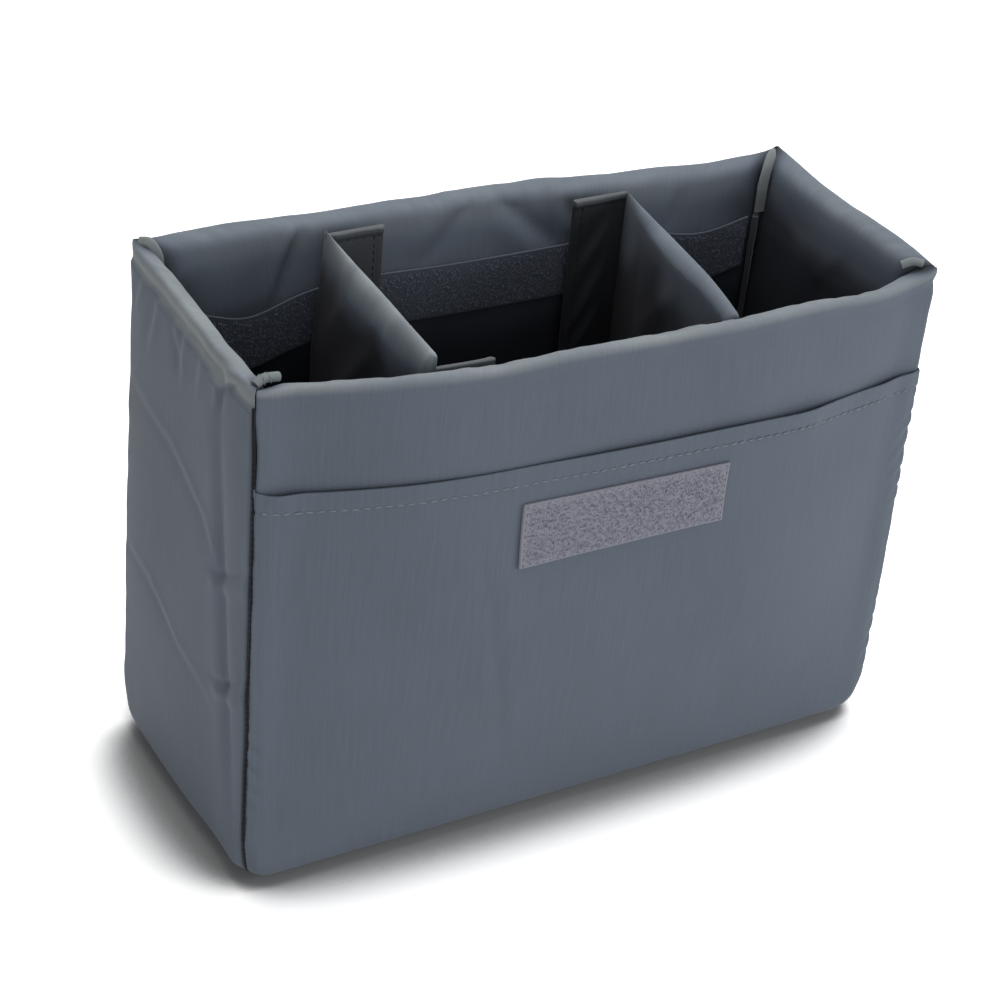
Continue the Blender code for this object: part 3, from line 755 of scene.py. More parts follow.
def wall_section(t):
    """Inset, height and outward normal of a wall's cloth at a distance t up from its foot.

    The cloth runs under the foot, round it, up the outside, over the rim and down the inside.
    """
    foot = -math.pi / 2 - math.pi / 2 * np.clip(t / OUTER_START, 0, 1)
    over = math.pi - math.pi * np.clip((t - RIM_START) / (INNER_START - RIM_START), 0, 1)
    rise = np.clip(t - OUTER_START, 0, OUTER_LENGTH)
    fall = np.maximum(0, t - INNER_START)
    on_foot = t < OUTER_START
    angle = np.where(on_foot, foot, over)
    radius = np.where(on_foot, FOOT_RADIUS, RIM_RADIUS)
    base = np.where(on_foot, WALL_LIFT + FOOT_RADIUS, WALL_LIFT + FOOT_RADIUS + rise - fall)
    inset = radius + radius * np.cos(angle) - np.minimum(0, t)
    return inset, base + radius * np.sin(angle), np.cos(angle), np.sin(angle)


def rim_narrowing(t):
    """How far the inner face lies in at the rim, where the cloth is drawn over a bare foam edge."""
    arc = math.pi * RIM_RADIUS
    over = smooth_step(RIM_START, RIM_START + 0.65 * arc, t)
    left = np.clip((INNER_START + RIM_NARROW_REACH - t) / (RIM_NARROW_REACH + 0.4 * arc), 0, 1)
    return RIM_NARROW * over * left

def near_rim(t, outside, inside):
    """1 on the rim, easing to 0 so far below it on the wall's outside and inside."""
    rising = smooth_step(RIM_START - outside, RIM_START, t)
    return rising * (1 - smooth_step(INNER_START, INNER_START + inside, t))


def wall_points(side, end, share, t, relief, lift=0.0):
    """Points of a wall's cloth. share runs from -1 to 1 along the wall and relief stands outwards.

    side is -1 for the front and 1 for the back wall. For an end wall side is 0, and end is its sign.
    """
    inset, z, normal_in, normal_up = wall_section(t)
    inset = inset + relief * normal_in - rim_narrowing(t)
    z = z + relief * normal_up + lift
    if side == 0:
        x = end * (WIDTH / 2 - inset)
        y = share * (HALF_DEPTH - inset - SEAM_GAP)
    else:
        x = share * (WIDTH / 2 - inset - SEAM_GAP)
        y = side * (HALF_DEPTH - inset)
        if side < 0:
            y = y - FRONT_BOW * bow_share(x) * z / HEIGHT
    return shape_box(np.stack(np.broadcast_arrays(x, y, z), -1))


def shape_box(points):
    """Round the four corners in plan towards the floor, and let the two back ones lean."""
    points = np.array(points, float)
    left = np.clip((-points[..., 0] - 20 * MM) / (WIDTH / 2 - 20 * MM), 0, 1) ** 2
    back = np.clip((points[..., 1] + HALF_DEPTH) / (2 * HALF_DEPTH), 0, 1)
    lean = CORNER_LEAN * left * back * np.clip(points[..., 2] / HEIGHT, 0, 1) ** 1.3
    right = np.clip((points[..., 0] - 70 * MM) / (WIDTH / 2 - 70 * MM), 0, 1) ** 2
    lean = lean + CORNER_FLARE * right * back ** 2.5 * np.clip(points[..., 2] / HEIGHT, 0, 1) ** 2.5
    radius = FOOT_CORNER * np.clip(1 - points[..., 2] / FOOT_CORNER_RISE, 0, 1) ** 1.6
    past_x = np.abs(points[..., 0]) - (WIDTH / 2 - radius)
    past_y = np.abs(points[..., 1]) - (HALF_DEPTH - radius)
    cornered = (past_x > 0) & (past_y > 0)
    share = np.maximum(past_x, past_y) / np.maximum(np.hypot(past_x, past_y), 1e-9)
    new_x = np.sign(points[..., 0]) * (WIDTH / 2 - radius + past_x * share)
    new_y = np.sign(points[..., 1]) * (HALF_DEPTH - radius + past_y * share)
    points[..., 0] = np.where(cornered, new_x, points[..., 0])
    points[..., 1] = np.where(cornered, new_y, points[..., 1])
    points[..., 0] += lean
    return points


def seam_roll(away):
    """How far the cloth has rolled in at a distance away from a corner seam."""
    near = np.clip(1 - away / SEAM_ROUND, 0, 1)
    return SEAM_ROUND * (1 - np.sqrt(1 - near ** 2))


def section_rows(outer_step, rim_step, inner_step):
    """Distances up a wall's section at which its cloth has a row of points."""
    stretches = ((-UNDER_WIDTH, 0, 1.0 * MM), (0, OUTER_START, 1.3 * MM),
                 (OUTER_START, RIM_START, outer_step), (RIM_START, INNER_START, rim_step),
                 (INNER_START, SECTION_END, inner_step))
    rows = [np.linspace(low, high, max(2, round((high - low) / step) + 1))[:-1]
            for low, high, step in stretches]
    return np.concatenate(rows + [np.array([SECTION_END])])


def wall_cloth(name, side, end, relief, lift):
    """Cloth of one wall, from its foot over the rim to below the floor lining."""
    half = WIDTH / 2 if side else HALF_DEPTH
    share = spread(-1, 1, 0.35 * MM / half, 2.0 * MM / half)[None, :]
    t = section_rows(1.8 * MM, 0.9 * MM, 2.4 * MM)[:, None]
    along = share * half
    away = (1 - np.abs(share)) * half
    z = wall_section(t)[1]
    inside = smooth_step(RIM_START, INNER_START, t)
    deepest = DEEPEST_CREASE + 1.6 * MM * inside
    sharp = near_rim(t, 14 * MM, 9 * MM)
    swell = np.maximum(relief(along, z, t, inside, away), -deepest) - seam_roll(away) * (1 - 0.85 * sharp)
    swell = swell - rim_bevel(name, along, t)
    points = wall_points(side, end, share, t, swell, lift(along, t, away))
    flip = (side < 0) if side else (end > 0)
    mesh = grid_mesh(name, points, along + 0 * t, t + 0 * along, flip=not flip)
    set_tone(mesh, wall_tone(name, along, t, away))
    piece = add_piece(name, mesh, "walls")
    return thicken(piece, sizes().cloth)


# How much paler each rim is painted: painted highlight, and wear
RIM_HIGHLIGHT_AND_WEAR = {"front_wall_cloth": 0.42, "back_wall_cloth": 0.16, "left_end_wall_cloth": 0.5,
             "right_end_wall_cloth": 0.2}


def wall_tone(name, along, t, away):
    """Plain cloth outside, painted highlight and wear over the rim, painted shade inside and by the corners.
    """
    right = name.startswith("right")
    # The rim is painted paler in uneven patches: painted highlight and wear
    patchy = 0.72 + 0.28 * smooth_noise(along / (19 * MM), t / (9 * MM), 83)
    top = RIM_START + 0.2 * math.pi * RIM_RADIUS
    if name.startswith("left"):
        top = RIM_START - left_bevel(along) + 1 * MM
    over = smooth_step(top - 1 * MM, top + 1.6 * MM, t)
    over = over * (1 - smooth_step(INNER_START, INNER_START + 8 * MM, t))
    # Inside, painted shade darkens the cloth further down; on the right end it starts higher and sooner
    high, deep = (1 * MM, 17 * MM) if right else (5 * MM, 60 * MM)
    ragged = 5 * MM * smooth_noise(along / (17 * MM), 0, 89)
    inside = smooth_step(INNER_START + high + ragged, INNER_START + deep + ragged, t)
    # More painted shade beside the corner seams inside, and in the rim's gaps beside the corner tabs
    corner = 0.85 * np.exp(-((away / (15 * MM)) ** 2)) * smooth_step(INNER_START, INNER_START + 12 * MM, t)
    gap = np.exp(-((away / (7 * MM)) ** 2)) * smooth_step(RIM_START + 5 * MM, RIM_START + 10 * MM, t)
    over = over * (1 - gap)
    # The right end is painted darker just under its rim: painted shade
    if right:
        inside = np.maximum(inside, 0.42 * smooth_step(INNER_START - 5 * MM, INNER_START + 3 * MM, t))
    return 0.5 + RIM_HIGHLIGHT_AND_WEAR[name] * over * patchy - 0.47 * np.maximum(inside, np.maximum(corner, gap))

def rim_square(t):
    """How far the rim stands beyond a round one, because a foam board's edge is cut square."""
    over = np.pi * np.clip((t - RIM_START) / (INNER_START - RIM_START), 0, 1)
    power = 3.2
    reach = (np.abs(np.cos(over)) ** power + np.abs(np.sin(over)) ** power) ** (-1 / power)
    return 0.8 * RIM_RADIUS * (reach - 1)


def left_bevel(along):
    """Width of the slanting plane under the left rim: wide at its front, up to the tuck there."""
    front = np.clip((50 * MM - along) / (82 * MM), 0, 1) * smooth_step(-36 * MM, -32 * MM, along)
    return (1.6 + 3.6 * front) * MM + 1.2 * MM * smooth_noise(along / (8 * MM), 0, 33) * (front > 0)


def rim_bevel(name, along, t):
    """The slanting plane that leads from a wall's outer face up to its rim."""
    if name.startswith("left"):
        width, slope = left_bevel(along), 0.4
    else:
        width, slope = 4.5 * MM + 1.0 * MM * smooth_noise(along / (14 * MM), 0, 6), 0.16
    outer = np.clip(t - (RIM_START - width), 0, width)
    return slope * outer * (1 - smooth_step(RIM_START, RIM_START + math.pi / 2 * RIM_RADIUS, t))


def common_relief(along, z, t, inside, away, seed):
    """What all walls share: the crown between the seams, soft swells, and gathers at the seams."""
    settings = sizes()
    foot = np.maximum(0, z - WALL_LIFT)
    crown = settings.crown * (1 - np.exp(-away / (14 * MM))) * (1 - np.exp(-foot / (16 * MM)))
    swells = 0.75 * MM * smooth_noise(along / (38 * MM), z / (46 * MM), seed)
    swells = swells + 0.22 * MM * smooth_noise(along / (15 * MM) + 7, z / (21 * MM), seed + 3)
    seam = settings.pucker * gathers(z, away, 7 * MM, 8 * MM, seed + 11 + 10 * np.sign(along))
    outer = crown + swells * (1 - np.exp(-away / (10 * MM))) + seam
    sunk = smooth_step(INNER_START, INNER_START + 14 * MM, t)
    inner = swells * (0.4 + 0.6 * sunk) - 0.1 * MM - 0.3 * MM * sunk + 0.5 * seam
    return outer * (1 - inside) + np.minimum(inner, 0) * inside + rim_square(t) * np.minimum(
        1, away / (6 * MM))


def rim_lift(name, low_corner, high_corner, half, seed, wave):
    """How one wall's rim rises and falls: high or low corners, their pointed ears, and waves."""
    def lift(along, t, away):
        rim = near_rim(t, 60 * MM, 60 * MM)
        outer_top = np.exp(-(((t - RIM_START - 0.3 * math.pi * RIM_RADIUS) / (6 * MM)) ** 2))
        rise = 0.0
        for corner, distance in ((low_corner, half + along), (high_corner, half - along)):
            rise = rise + CORNER_RISES[corner] * rim * np.exp(-((distance / CORNER_REACH) ** 2))
            rise = rise + CORNER_EARS[corner] * outer_top * np.exp(-distance / (4 * MM))
        for height, centre, width in RIM_DIPS[name]:
            dip = height * MM * np.exp(-(((along / MM - centre) / width) ** 2))
            rise = rise + dip * rim * (1 - np.exp(-away / (3 * MM)))
        return rise + rim_wave(along, t, away, seed, wave)

    return lift


def rim_wave(along, t, away, seed, size):
    """A slow rise and fall of the rim."""
    top = near_rim(t, 25 * MM, 25 * MM)
    wave = smooth_noise(along / (27 * MM), 0, seed) + 0.45 * smooth_noise(along / (11 * MM), 0, seed + 1)
    edge = np.exp(-(((t - RIM_START - 0.62 * math.pi * RIM_RADIUS) / (3.4 * MM)) ** 2))
    bumps = 0.45 * MM * smooth_noise(along / (4.6 * MM), 0, seed + 2) * edge
    return (size * wave * top + bumps) * (1 - np.exp(-away / (8 * MM)))


def front_crown(x, z):
    """The front wall's cloth swells most beside the pocket's mouth."""
    rise = smooth_step(POCKET_MOUTH - 55 * MM, POCKET_MOUTH, z)
    fall = 1 - smooth_step(POCKET_MOUTH + 4 * MM, HEIGHT - 2 * MM, z)
    return 3.0 * MM * bow_share(x) * rise * fall


def front_relief(along, z, t, inside, away):
    """The front wall swells above the pocket and lies flat behind it."""
    above = smooth_step(POCKET_MOUTH - 2 * MM, POCKET_MOUTH + 16 * MM, z)
    shared = common_relief(along, z, t, inside, away, 3)
    outer = shared * above + front_crown(along, z)
    return outer * (1 - inside) + shared * inside


def back_relief(along, z, t, inside, away):
    """The back wall is plain outside. Inside, dark tucks run down from its rim."""
    shared = common_relief(along, z, t, inside, away, 17)
    return shared + creases(along, t, BACK_TUCKS, RIM_START / MM + 14)


def left_relief(along, z, t, inside, away):
    """The left end's cloth is loose: a long crease beside the front seam, and slanting folds.

    Its rim slants more and more towards the front, up to a tuck where the long crease begins.
    """
    shared = common_relief(along, z, t, inside, away, 29)
    folds = creases(along, z, LEFT_CREASES) + creases(along, t, LEFT_RIM_TUCKS, RIM_START / MM)
    return shared + folds * (1 - inside)

def right_relief(along, z, t, inside, away):
    """The right end's cloth is drawn smooth, with a few slanting folds inside and out."""
    shared = common_relief(along, z, t, inside, away, 43)
    outer = creases(along, z, RIGHT_CREASES)
    inner = creases(along, t, RIGHT_LINING_FOLDS, INNER_START / MM)
    return shared + outer * (1 - inside) + inner * inside

def edge_round(places, radius):
    """How full a slab is beside its two ends: 0 at the end, 1 from one radius in."""
    away = np.minimum(places - places.min(), places.max() - places)
    near = np.clip(1 - away / radius, 0, 1)
    return np.sqrt(1 - near ** 2)


def slab_mesh(name, across, along, thickness, rounding, place, relief=None):
    """A closed slab with rounded edges. place gives the points at (across, along, off the middle).

    relief raises the slab's positive face beyond its thickness.
    """
    u = np.asarray(across)[None, :]
    v = np.asarray(along)[:, None]
    full = edge_round(u, rounding) * edge_round(v, rounding)
    half = thickness / 2 * full
    raised = half + (relief(u, v) * full if relief else 0)
    faces = []
    for offset, flip in ((raised, False), (-half, True)):
        faces.append(grid_mesh(name, place(u, v, offset), u + 0 * v, v + 0 * u, flip=flip))
    shape = bmesh.new()
    for face in faces:
        shape.from_mesh(face)
    bmesh.ops.remove_doubles(shape, verts=shape.verts, dist=1e-6)
    bmesh.ops.recalc_face_normals(shape, faces=shape.faces)
    mesh = faces[0]
    shape.to_mesh(mesh)
    shape.free()
    bpy.data.meshes.remove(faces[1])
    return mesh


def inner_place(side, x, z, inset):
    """A point that lies inset from the outer plane of the front or back wall."""
    y = side * (HALF_DEPTH - inset)
    if side < 0:
        y = y - FRONT_BOW * bow_share(x) * z / HEIGHT
    return np.stack(np.broadcast_arrays(x, y, z), -1)


def make_wall_board(name, side, end):
    """Foam board of one wall, a little thinner than the cloth leaves room for."""
    margin = 5 * MM
    half = WIDTH / 2 - margin if side else HALF_DEPTH - WALL - BOARD_CLEARANCE
    middle = BOARD_CLEARANCE + BOARD_THICKNESS / 2

    def place(u, v, off):
        if side:
            return shape_box(inner_place(side, u, v, middle - off))
        return shape_box(np.stack(np.broadcast_arrays(end * (WIDTH / 2 - middle + off), u, v), -1))

    mesh = slab_mesh(name, spread(-half, half, 0.5 * MM, 8 * MM),
                     spread(WALL_LIFT + BOARD_CLEARANCE, HEIGHT - BOARD_TOP, 0.5 * MM, 8 * MM),
                     BOARD_THICKNESS, BOARD_THICKNESS / 2, place)
    board = add_piece(name + "_wall_foam", mesh, "foam")
    return settle(board, "shell", [name + "_foam_board"])


# The pocket

def pocket_stand(x, z):
    """How far the pocket's outer face stands out from the wall's own plane."""
    grown = np.clip((z - WALL_LIFT - FOOT_RADIUS) / POCKET_RISE, 0, 1)
    slack = POCKET_SLACK * bow_share(x) * grown
    near_mouth = smooth_step(POCKET_MOUTH - 60 * MM, POCKET_MOUTH - 6 * MM, z)
    held = front_crown(x, z) + 0.1 * MM
    sewn = 0.7 * MM + (POCKET_FACE - 0.7 * MM) * smooth_step(0, 9 * MM, WIDTH / 2 - np.abs(x))
    return sewn + slack * (1 - near_mouth) + held * near_mouth


def mouth_rise(x):
    """Where the pocket's mouth leaves its level: higher on the left, and down to the right."""
    left = 3.6 * MM * (1 - smooth_step(-110 * MM, 60 * MM, x))
    left = left + 3.2 * MM * np.exp(-np.maximum(0, x + WIDTH / 2) / (6 * MM))
    return left - 4.5 * MM * smooth_step(30 * MM, WIDTH / 2, x)


def mouth_gape(x):
    """Where the pocket's mouth stands open: beside its left end, and at its right."""
    gape = 1.0 * np.exp(-(((x + 127 * MM) / (5 * MM)) ** 2))
    gape = gape + 1.3 * np.exp(-(((x - 72 * MM) / (13 * MM)) ** 2))
    gape = gape + 0.9 * np.exp(-(((x - 117 * MM) / (9 * MM)) ** 2))
    gape = gape + 0.35 * np.exp(-(((x - 10 * MM) / (30 * MM)) ** 2))
    return gape * MM


def seam_tucks(along, away, spacing, reach, seed):
    """Short sharp tucks that slant down and away from a sewn seam."""
    place = (along + 0.9 * away) / spacing + 0.35 * smooth_noise(along / (3 * spacing), 0, seed)
    number = np.floor(place)
    size = 0.5 + 0.5 * np.sin(number * 12.9898 + seed * 7.31)
    crest = 1 - np.abs(2 * (place - number) - 1)
    return -size * crest ** 3 * np.exp(-((away / (reach * (0.5 + 0.8 * size))) ** 2))


def pocket_relief(x, z, away):
    """The pocket's folds, gathers and open mouth, beyond where it stands."""
    settings = sizes()
    mouth = np.exp(-np.maximum(0, POCKET_MOUTH - z) / (10 * MM))
    loose = (1 - np.exp(-away / (12 * MM))) * smooth_step(WALL_LIFT, 40 * MM, z)
    swells = 0.5 * MM * smooth_noise(x / (52 * MM), z / (60 * MM), 61)
    swells = swells + 0.22 * MM * smooth_noise(x / (20 * MM), z / (30 * MM), 67)
    seam = 0.6 * settings.pucker * gathers(z, away, 6 * MM, 9 * MM, 71 + 10 * np.sign(x))
    tucked = smooth_step(14 * MM, 45 * MM, z) * (
        1 - smooth_step(POCKET_MOUTH - 26 * MM, POCKET_MOUTH - 8 * MM, z))
    seam = seam + 2.2 * settings.pucker * seam_tucks(z, away, 8 * MM, 8 * MM, 73 + np.sign(x)) * tucked
    hem_line = POCKET_MOUTH - HEM_STITCHES
    hem = -0.28 * MM * np.exp(-(((z - hem_line) / (0.9 * MM)) ** 2))
    hem = hem + 0.12 * MM * smooth_noise(x / (5 * MM), 0, 77) * np.exp(-(((z - hem_line) / (3 * MM)) ** 2))
    folds = creases(x, z, POCKET_CREASES)
    return loose * (swells + folds) + seam + hem + mouth * mouth_gape(x)


def pocket_out(x, z):
    """How far the pocket's face stands out with its folds, always clear of the wall behind it."""
    return np.maximum(pocket_stand(x, z) + pocket_relief(x, z, WIDTH / 2 - np.abs(x)), 0.5 * MM)


def pocket_face(x, z, lift):
    """Points on the pocket's outer face at places (x, z), lift above the cloth.

    z is counted as if the mouth were level. The points follow the mouth's rise and fall.
    """
    y = -HALF_DEPTH - pocket_out(x, z) - lift - FRONT_BOW * bow_share(x) * z / HEIGHT
    risen = z + mouth_rise(x) * smooth_step(POCKET_MOUTH - 45 * MM, POCKET_MOUTH, z)
    return np.stack(np.broadcast_arrays(x, y, risen), -1)


def make_pocket():
    """The pocket's cloth, with the hem folded in at its mouth and its foot wrapped under the wall."""
    half = WIDTH / 2
    share = spread(-1, 1, 0.35 * MM / half, 2.0 * MM / half)[None, :]
    mouth_t = POCKET_MOUTH - WALL_LIFT - FOOT_RADIUS + OUTER_START
    rows = np.concatenate([np.arange(0, OUTER_START, 1.4 * MM),
                           np.arange(OUTER_START, mouth_t - 12 * MM, 1.9 * MM),
                           np.arange(mouth_t - 12 * MM, mouth_t - 0.2 * MM, 0.6 * MM), [mouth_t]])
    t = rows[:, None]
    along = share * half
    away = (1 - np.abs(share)) * half
    z = wall_section(t)[1]
    outer = wall_points(-1, 0, share, t, pocket_out(along, z) - seam_roll(away),
                        mouth_rise(along) * smooth_step(POCKET_MOUTH - 45 * MM, POCKET_MOUTH, z))
    turn = np.linspace(0, math.pi, 5)[1:, None, None]
    fold_radius = 0.45 * MM
    top = outer[-1][None]
    over = top + np.concatenate([0 * turn, fold_radius * (1 - np.cos(turn)), fold_radius * np.sin(turn)], -1)
    down = np.linspace(0, POCKET_HEM, 7)[1:, None, None]
    slope = (outer[-1] - outer[-14])
    slope = slope / np.linalg.norm(slope, axis=-1, keepdims=True)
    hem = over[-1][None] - down * slope[None]
    points = np.concatenate([outer, over, hem])
    extra = np.concatenate([math.pi * fold_radius * np.linspace(0.25, 1, 4),
                            math.pi * fold_radius + down[:, 0, 0]])
    length = np.concatenate([rows, mouth_t + extra])
    mesh = grid_mesh("front_pocket_cloth", points, along + 0 * length[:, None],
                     length[:, None] + 0 * along)
    piece = add_piece("front_pocket_cloth", mesh, "nylon")
    thicken(piece, 0.5 * sizes().cloth)
    settle(piece, "shell", ["front_pocket"])
    return piece


# The base

def outline_ring(half_x, half_y, radius, steps=6):
    """A rectangle with round corners, as points in order."""
    ring = []
    for quarter, (sx, sy) in enumerate(((1, 1), (-1, 1), (-1, -1), (1, -1))):
        for i in range(steps + 1):
            angle = math.radians(90 * quarter + 90 * i / steps)
            ring.append((sx * (half_x - radius) + radius * math.cos(angle),
                         sy * (half_y - radius) + radius * math.sin(angle)))
    closed = ring + ring[:1]
    points = []
    for (ax, ay), (bx, by) in zip(closed, closed[1:]):
        cuts = max(1, round(math.hypot(bx - ax, by - ay) / (5 * MM)))
        points += [(ax + (bx - ax) * i / cuts, ay + (by - ay) * i / cuts) for i in range(cuts)]
    return np.array(points)


def make_base_cloth():
    """The cloth tray under the base: drawn up round its edges, and flat where it rests."""
    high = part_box("base_cover")[1]
    radius = 2.5 * MM
    corner = 6 * MM
    outer = outline_ring(high.x, high.y, corner)

    def drawn_in(inset):
        return outer * np.array([(high.x - inset) / high.x, (high.y - inset) / high.y])

    rows = []
    for inset in np.linspace(high.y - 0.2 * MM, radius, 24):
        flat = drawn_in(inset)
        dimple = 0.25 * MM * (1 + smooth_noise(flat[:, 0] / (30 * MM), flat[:, 1] / (30 * MM), 5))
        height = dimple * (1 - math.exp(-(inset - radius) / (6 * MM)))
        rows.append(np.column_stack([flat, height]))
    for angle in np.linspace(0, math.pi / 2, 5)[1:]:
        height = np.full(len(outer), radius * (1 - math.cos(angle)))
        rows.append(np.column_stack([drawn_in(radius * (1 - math.sin(angle))), height]))
    for z in np.linspace(radius + 1 * MM, high.z, 5):
        rows.append(np.column_stack([outer, np.full(len(outer), z)]))
    points = np.array([np.vstack([row, row[:1]]) for row in rows])
    mesh = grid_mesh("base_cloth", points, points[:, :, 0], points[:, :, 1] + points[:, :, 2], flip=True)
    shape = bmesh.new()
    shape.from_mesh(mesh)
    bmesh.ops.remove_doubles(shape, verts=shape.verts, dist=1e-6)
    inner = [edge for edge in shape.edges if edge.is_boundary and edge.verts[0].co.z < 2 * MM]
    bmesh.ops.holes_fill(shape, edges=inner, sides=0)
    bmesh.ops.recalc_face_normals(shape, faces=shape.faces)
    if sum(face.normal.z for face in shape.faces) > 0:
        bmesh.ops.reverse_faces(shape, faces=shape.faces)
    shape.to_mesh(mesh)
    shape.free()
    piece = add_piece("base_cloth", mesh, "nylon")
    thicken(piece, sizes().cloth)
    return settle(piece, "shell", ["base_cover"])


def make_base_board():
    """Foam board of the base, between its cloth and the floor lining."""
    low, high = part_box("base_foam_board")
    clearance = 0.4 * MM
    middle = (low.z + high.z) / 2 + clearance

    def place(u, v, off):
        return np.stack(np.broadcast_arrays(u, v, middle + off), -1)

    mesh = slab_mesh("base_foam", spread(low.x + clearance, high.x - clearance, 0.6 * MM, 8 * MM),
                     spread(low.y + clearance, high.y - clearance, 0.6 * MM, 8 * MM),
                     high.z - low.z - 3 * clearance, 1.5 * MM, place)
    board = add_piece("base_foam", mesh, "foam")
    return settle(board, "shell", ["base_foam_board"])


def make_floor_lining():
    """The cloth that lines the floor of the compartments."""
    low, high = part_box("floor_lining")
    thickness = 0.5 * MM

    def place(u, v, off):
        sag = 0.15 * MM * (1 + smooth_noise(u / (25 * MM), v / (22 * MM), 9))
        return np.stack(np.broadcast_arrays(u, v, high.z - thickness / 2 - sag + off), -1)

    mesh = slab_mesh("floor_lining_cloth", spread(low.x, high.x, 0.3 * MM, 3 * MM),
                     spread(low.y, high.y, 0.3 * MM, 3 * MM), thickness, 0.3 * MM, place)
    # Its colour is the painted shade deep in the compartments
    lining_painted_shade = add_piece("floor_lining_cloth", mesh, "lining_painted_shade")
    settle(lining_painted_shade, "shell", ["floor_lining"])
    return lining_painted_shade


# Tapes

def make_tape(name, across, along, place, thickness, selvedge, dress, body, nodes):
    """A fastening tape with loops over it, bare along its woven edges.

    place gives a point off the tape's back face, selvedge is the bare width at the left, right,
    foot and top, and dress names its two finishes.
    """
    settings = sizes()
    base = thickness - 0.55 * settings.pile

    def middle(u, v, off):
        return place(u, v, base / 2 + off)

    mesh = slab_mesh(name, spread(*across, 0.15 * MM, 2.2 * MM), spread(*along, 0.15 * MM, 1.6 * MM),
                     base, 0.4 * MM, middle)
    tape = add_piece(name, mesh, dress[1])
    left, right, foot, top = selvedge
    u = np.linspace(across[0] + left, across[1] - right, 90)[None, :]
    v = np.linspace(along[0] + foot, along[1] - top, 12)[:, None]
    bed = grid_mesh(name + "_bed", place(u, v, base + 0 * u * v), u + 0 * v, v + 0 * u)
    pile = grow(name + "_pile", bed, "pile", Density=settings.loop_count * 1e4, Height=settings.pile,
                Yarn=0.075 * MM, Seed=11, Material=finish(dress[0]))
    settle(tape, body, nodes)
    settle(pile, body)
    return tape


def make_patch():
    """The lilac fastening patch sewn to the front of the pocket."""
    low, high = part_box("front_fastening_patch")
    top = POCKET_MOUTH - PATCH_DROP
    height = 25 * MM

    def place(u, v, off):
        return pocket_face(u, v, off + 0.1 * MM)

    make_tape("front_patch_tape", (low.x, high.x), (top - height, top), place, 1.7 * MM,
              (2.4 * MM, 1.6 * MM, 1.5 * MM, 1.7 * MM), ("patch_pile", "patch_edge"), "shell",
              ["front_fastening_patch"])
    inset = 1.0 * MM
    left, right = low.x + 1.6 * MM, high.x - 1.0 * MM
    rows = (("left", [(left, z) for z in np.arange(top - height + inset, top - inset, 0.5 * MM)]),
            ("top", [(x, top - inset) for x in np.arange(left, right, 0.5 * MM)]),
            ("right", [(right, z) for z in np.arange(top - height + inset, top - inset, 0.5 * MM)]),
            ("foot", [(x, top - height + inset) for x in np.arange(left, right, 0.5 * MM)]))
    for name, places in rows:
        x, z = np.array(places).T
        stitches = stitch_row("patch_stitches_" + name, pocket_face(x, z, 1.35 * MM), 2.8 * MM, 0.45 * MM,
                              "hem_thread", 0.6, 9)
        settle(stitches, "shell")


def strip_droop(x):
    """How far the back strip hangs below its line, between where it is caught at the seams."""
    left = 6.6 * np.exp(-(((x + 97 * MM) / (17 * MM)) ** 2))
    right = 6.0 * np.exp(-(((x - 103 * MM) / (22 * MM)) ** 2))
    return (left + right - 1.6 * np.exp(-(((x + 46 * MM) / (28 * MM)) ** 2))) * MM


def make_strip(name, side):
    """A loop strip sewn along the inside of the front or back wall."""
    low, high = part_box(name + "_loop_strip")
    top = POCKET_MOUTH + STRIP_RISE
    droop = strip_droop if side > 0 else (lambda x: 0.4 * strip_droop(-x))
    seat = WALL + 0.3 * MM

    def place(u, v, off):
        sunk = 0.25 * MM * (1 + smooth_noise(u / (26 * MM), 0, 23))
        return shape_box(inner_place(side, u, v - droop(u), seat + off - sunk))

    return make_tape(name + "_strip_tape", (low.x, high.x), (top - STRIP_HEIGHT, top), place, 1.5 * MM,
                     (0.3 * MM, 0.3 * MM, 1.2 * MM, 1.3 * MM), ("strip_pile", "strip_edge"), "shell",
                     [name + "_loop_strip"])


# Corner seams

def corner_place(sign_x, sign_y, along, z):
    """A point on the diagonal of an inner corner, along from the corner towards the inside."""
    return (sign_x * (WIDTH / 2 - WALL - along / math.sqrt(2)),
            sign_y * (HALF_DEPTH - WALL - along / math.sqrt(2)), z)


def make_binding(name, sign_x, sign_y):
    """The bound seam allowance that stands out of an inner corner."""
    low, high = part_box("corner_binding_" + name)
    across = name == "back_right"       # this one is pressed flat across its corner
    length, thickness = (5.2 * MM, 2.2 * MM) if across else (6.0 * MM, 1.6 * MM)
    centre = 1.6 * MM if across else 0.6 * MM + length / 2
    turn = math.atan2(sign_y, sign_x) + (math.pi / 2 if across else 0)
    foot = Vector(corner_place(sign_x, sign_y, centre, low.z + 0.3 * MM))
    top = high.z - 25 * MM
    head = Vector(corner_place(sign_x, sign_y, centre, top))
    path = shape_box([foot.lerp(head, share) for share in np.linspace(0, 1, 60)])
    binding = grow("corner_binding_tape_" + name, line_mesh(name, path), "binding", Thickness=thickness,
                   Length=length, Turn=turn, Waviness=1.4 * MM,
                   Material=finish("binding"))
    settle(binding, "shell", ["corner_binding_" + name])
    return binding


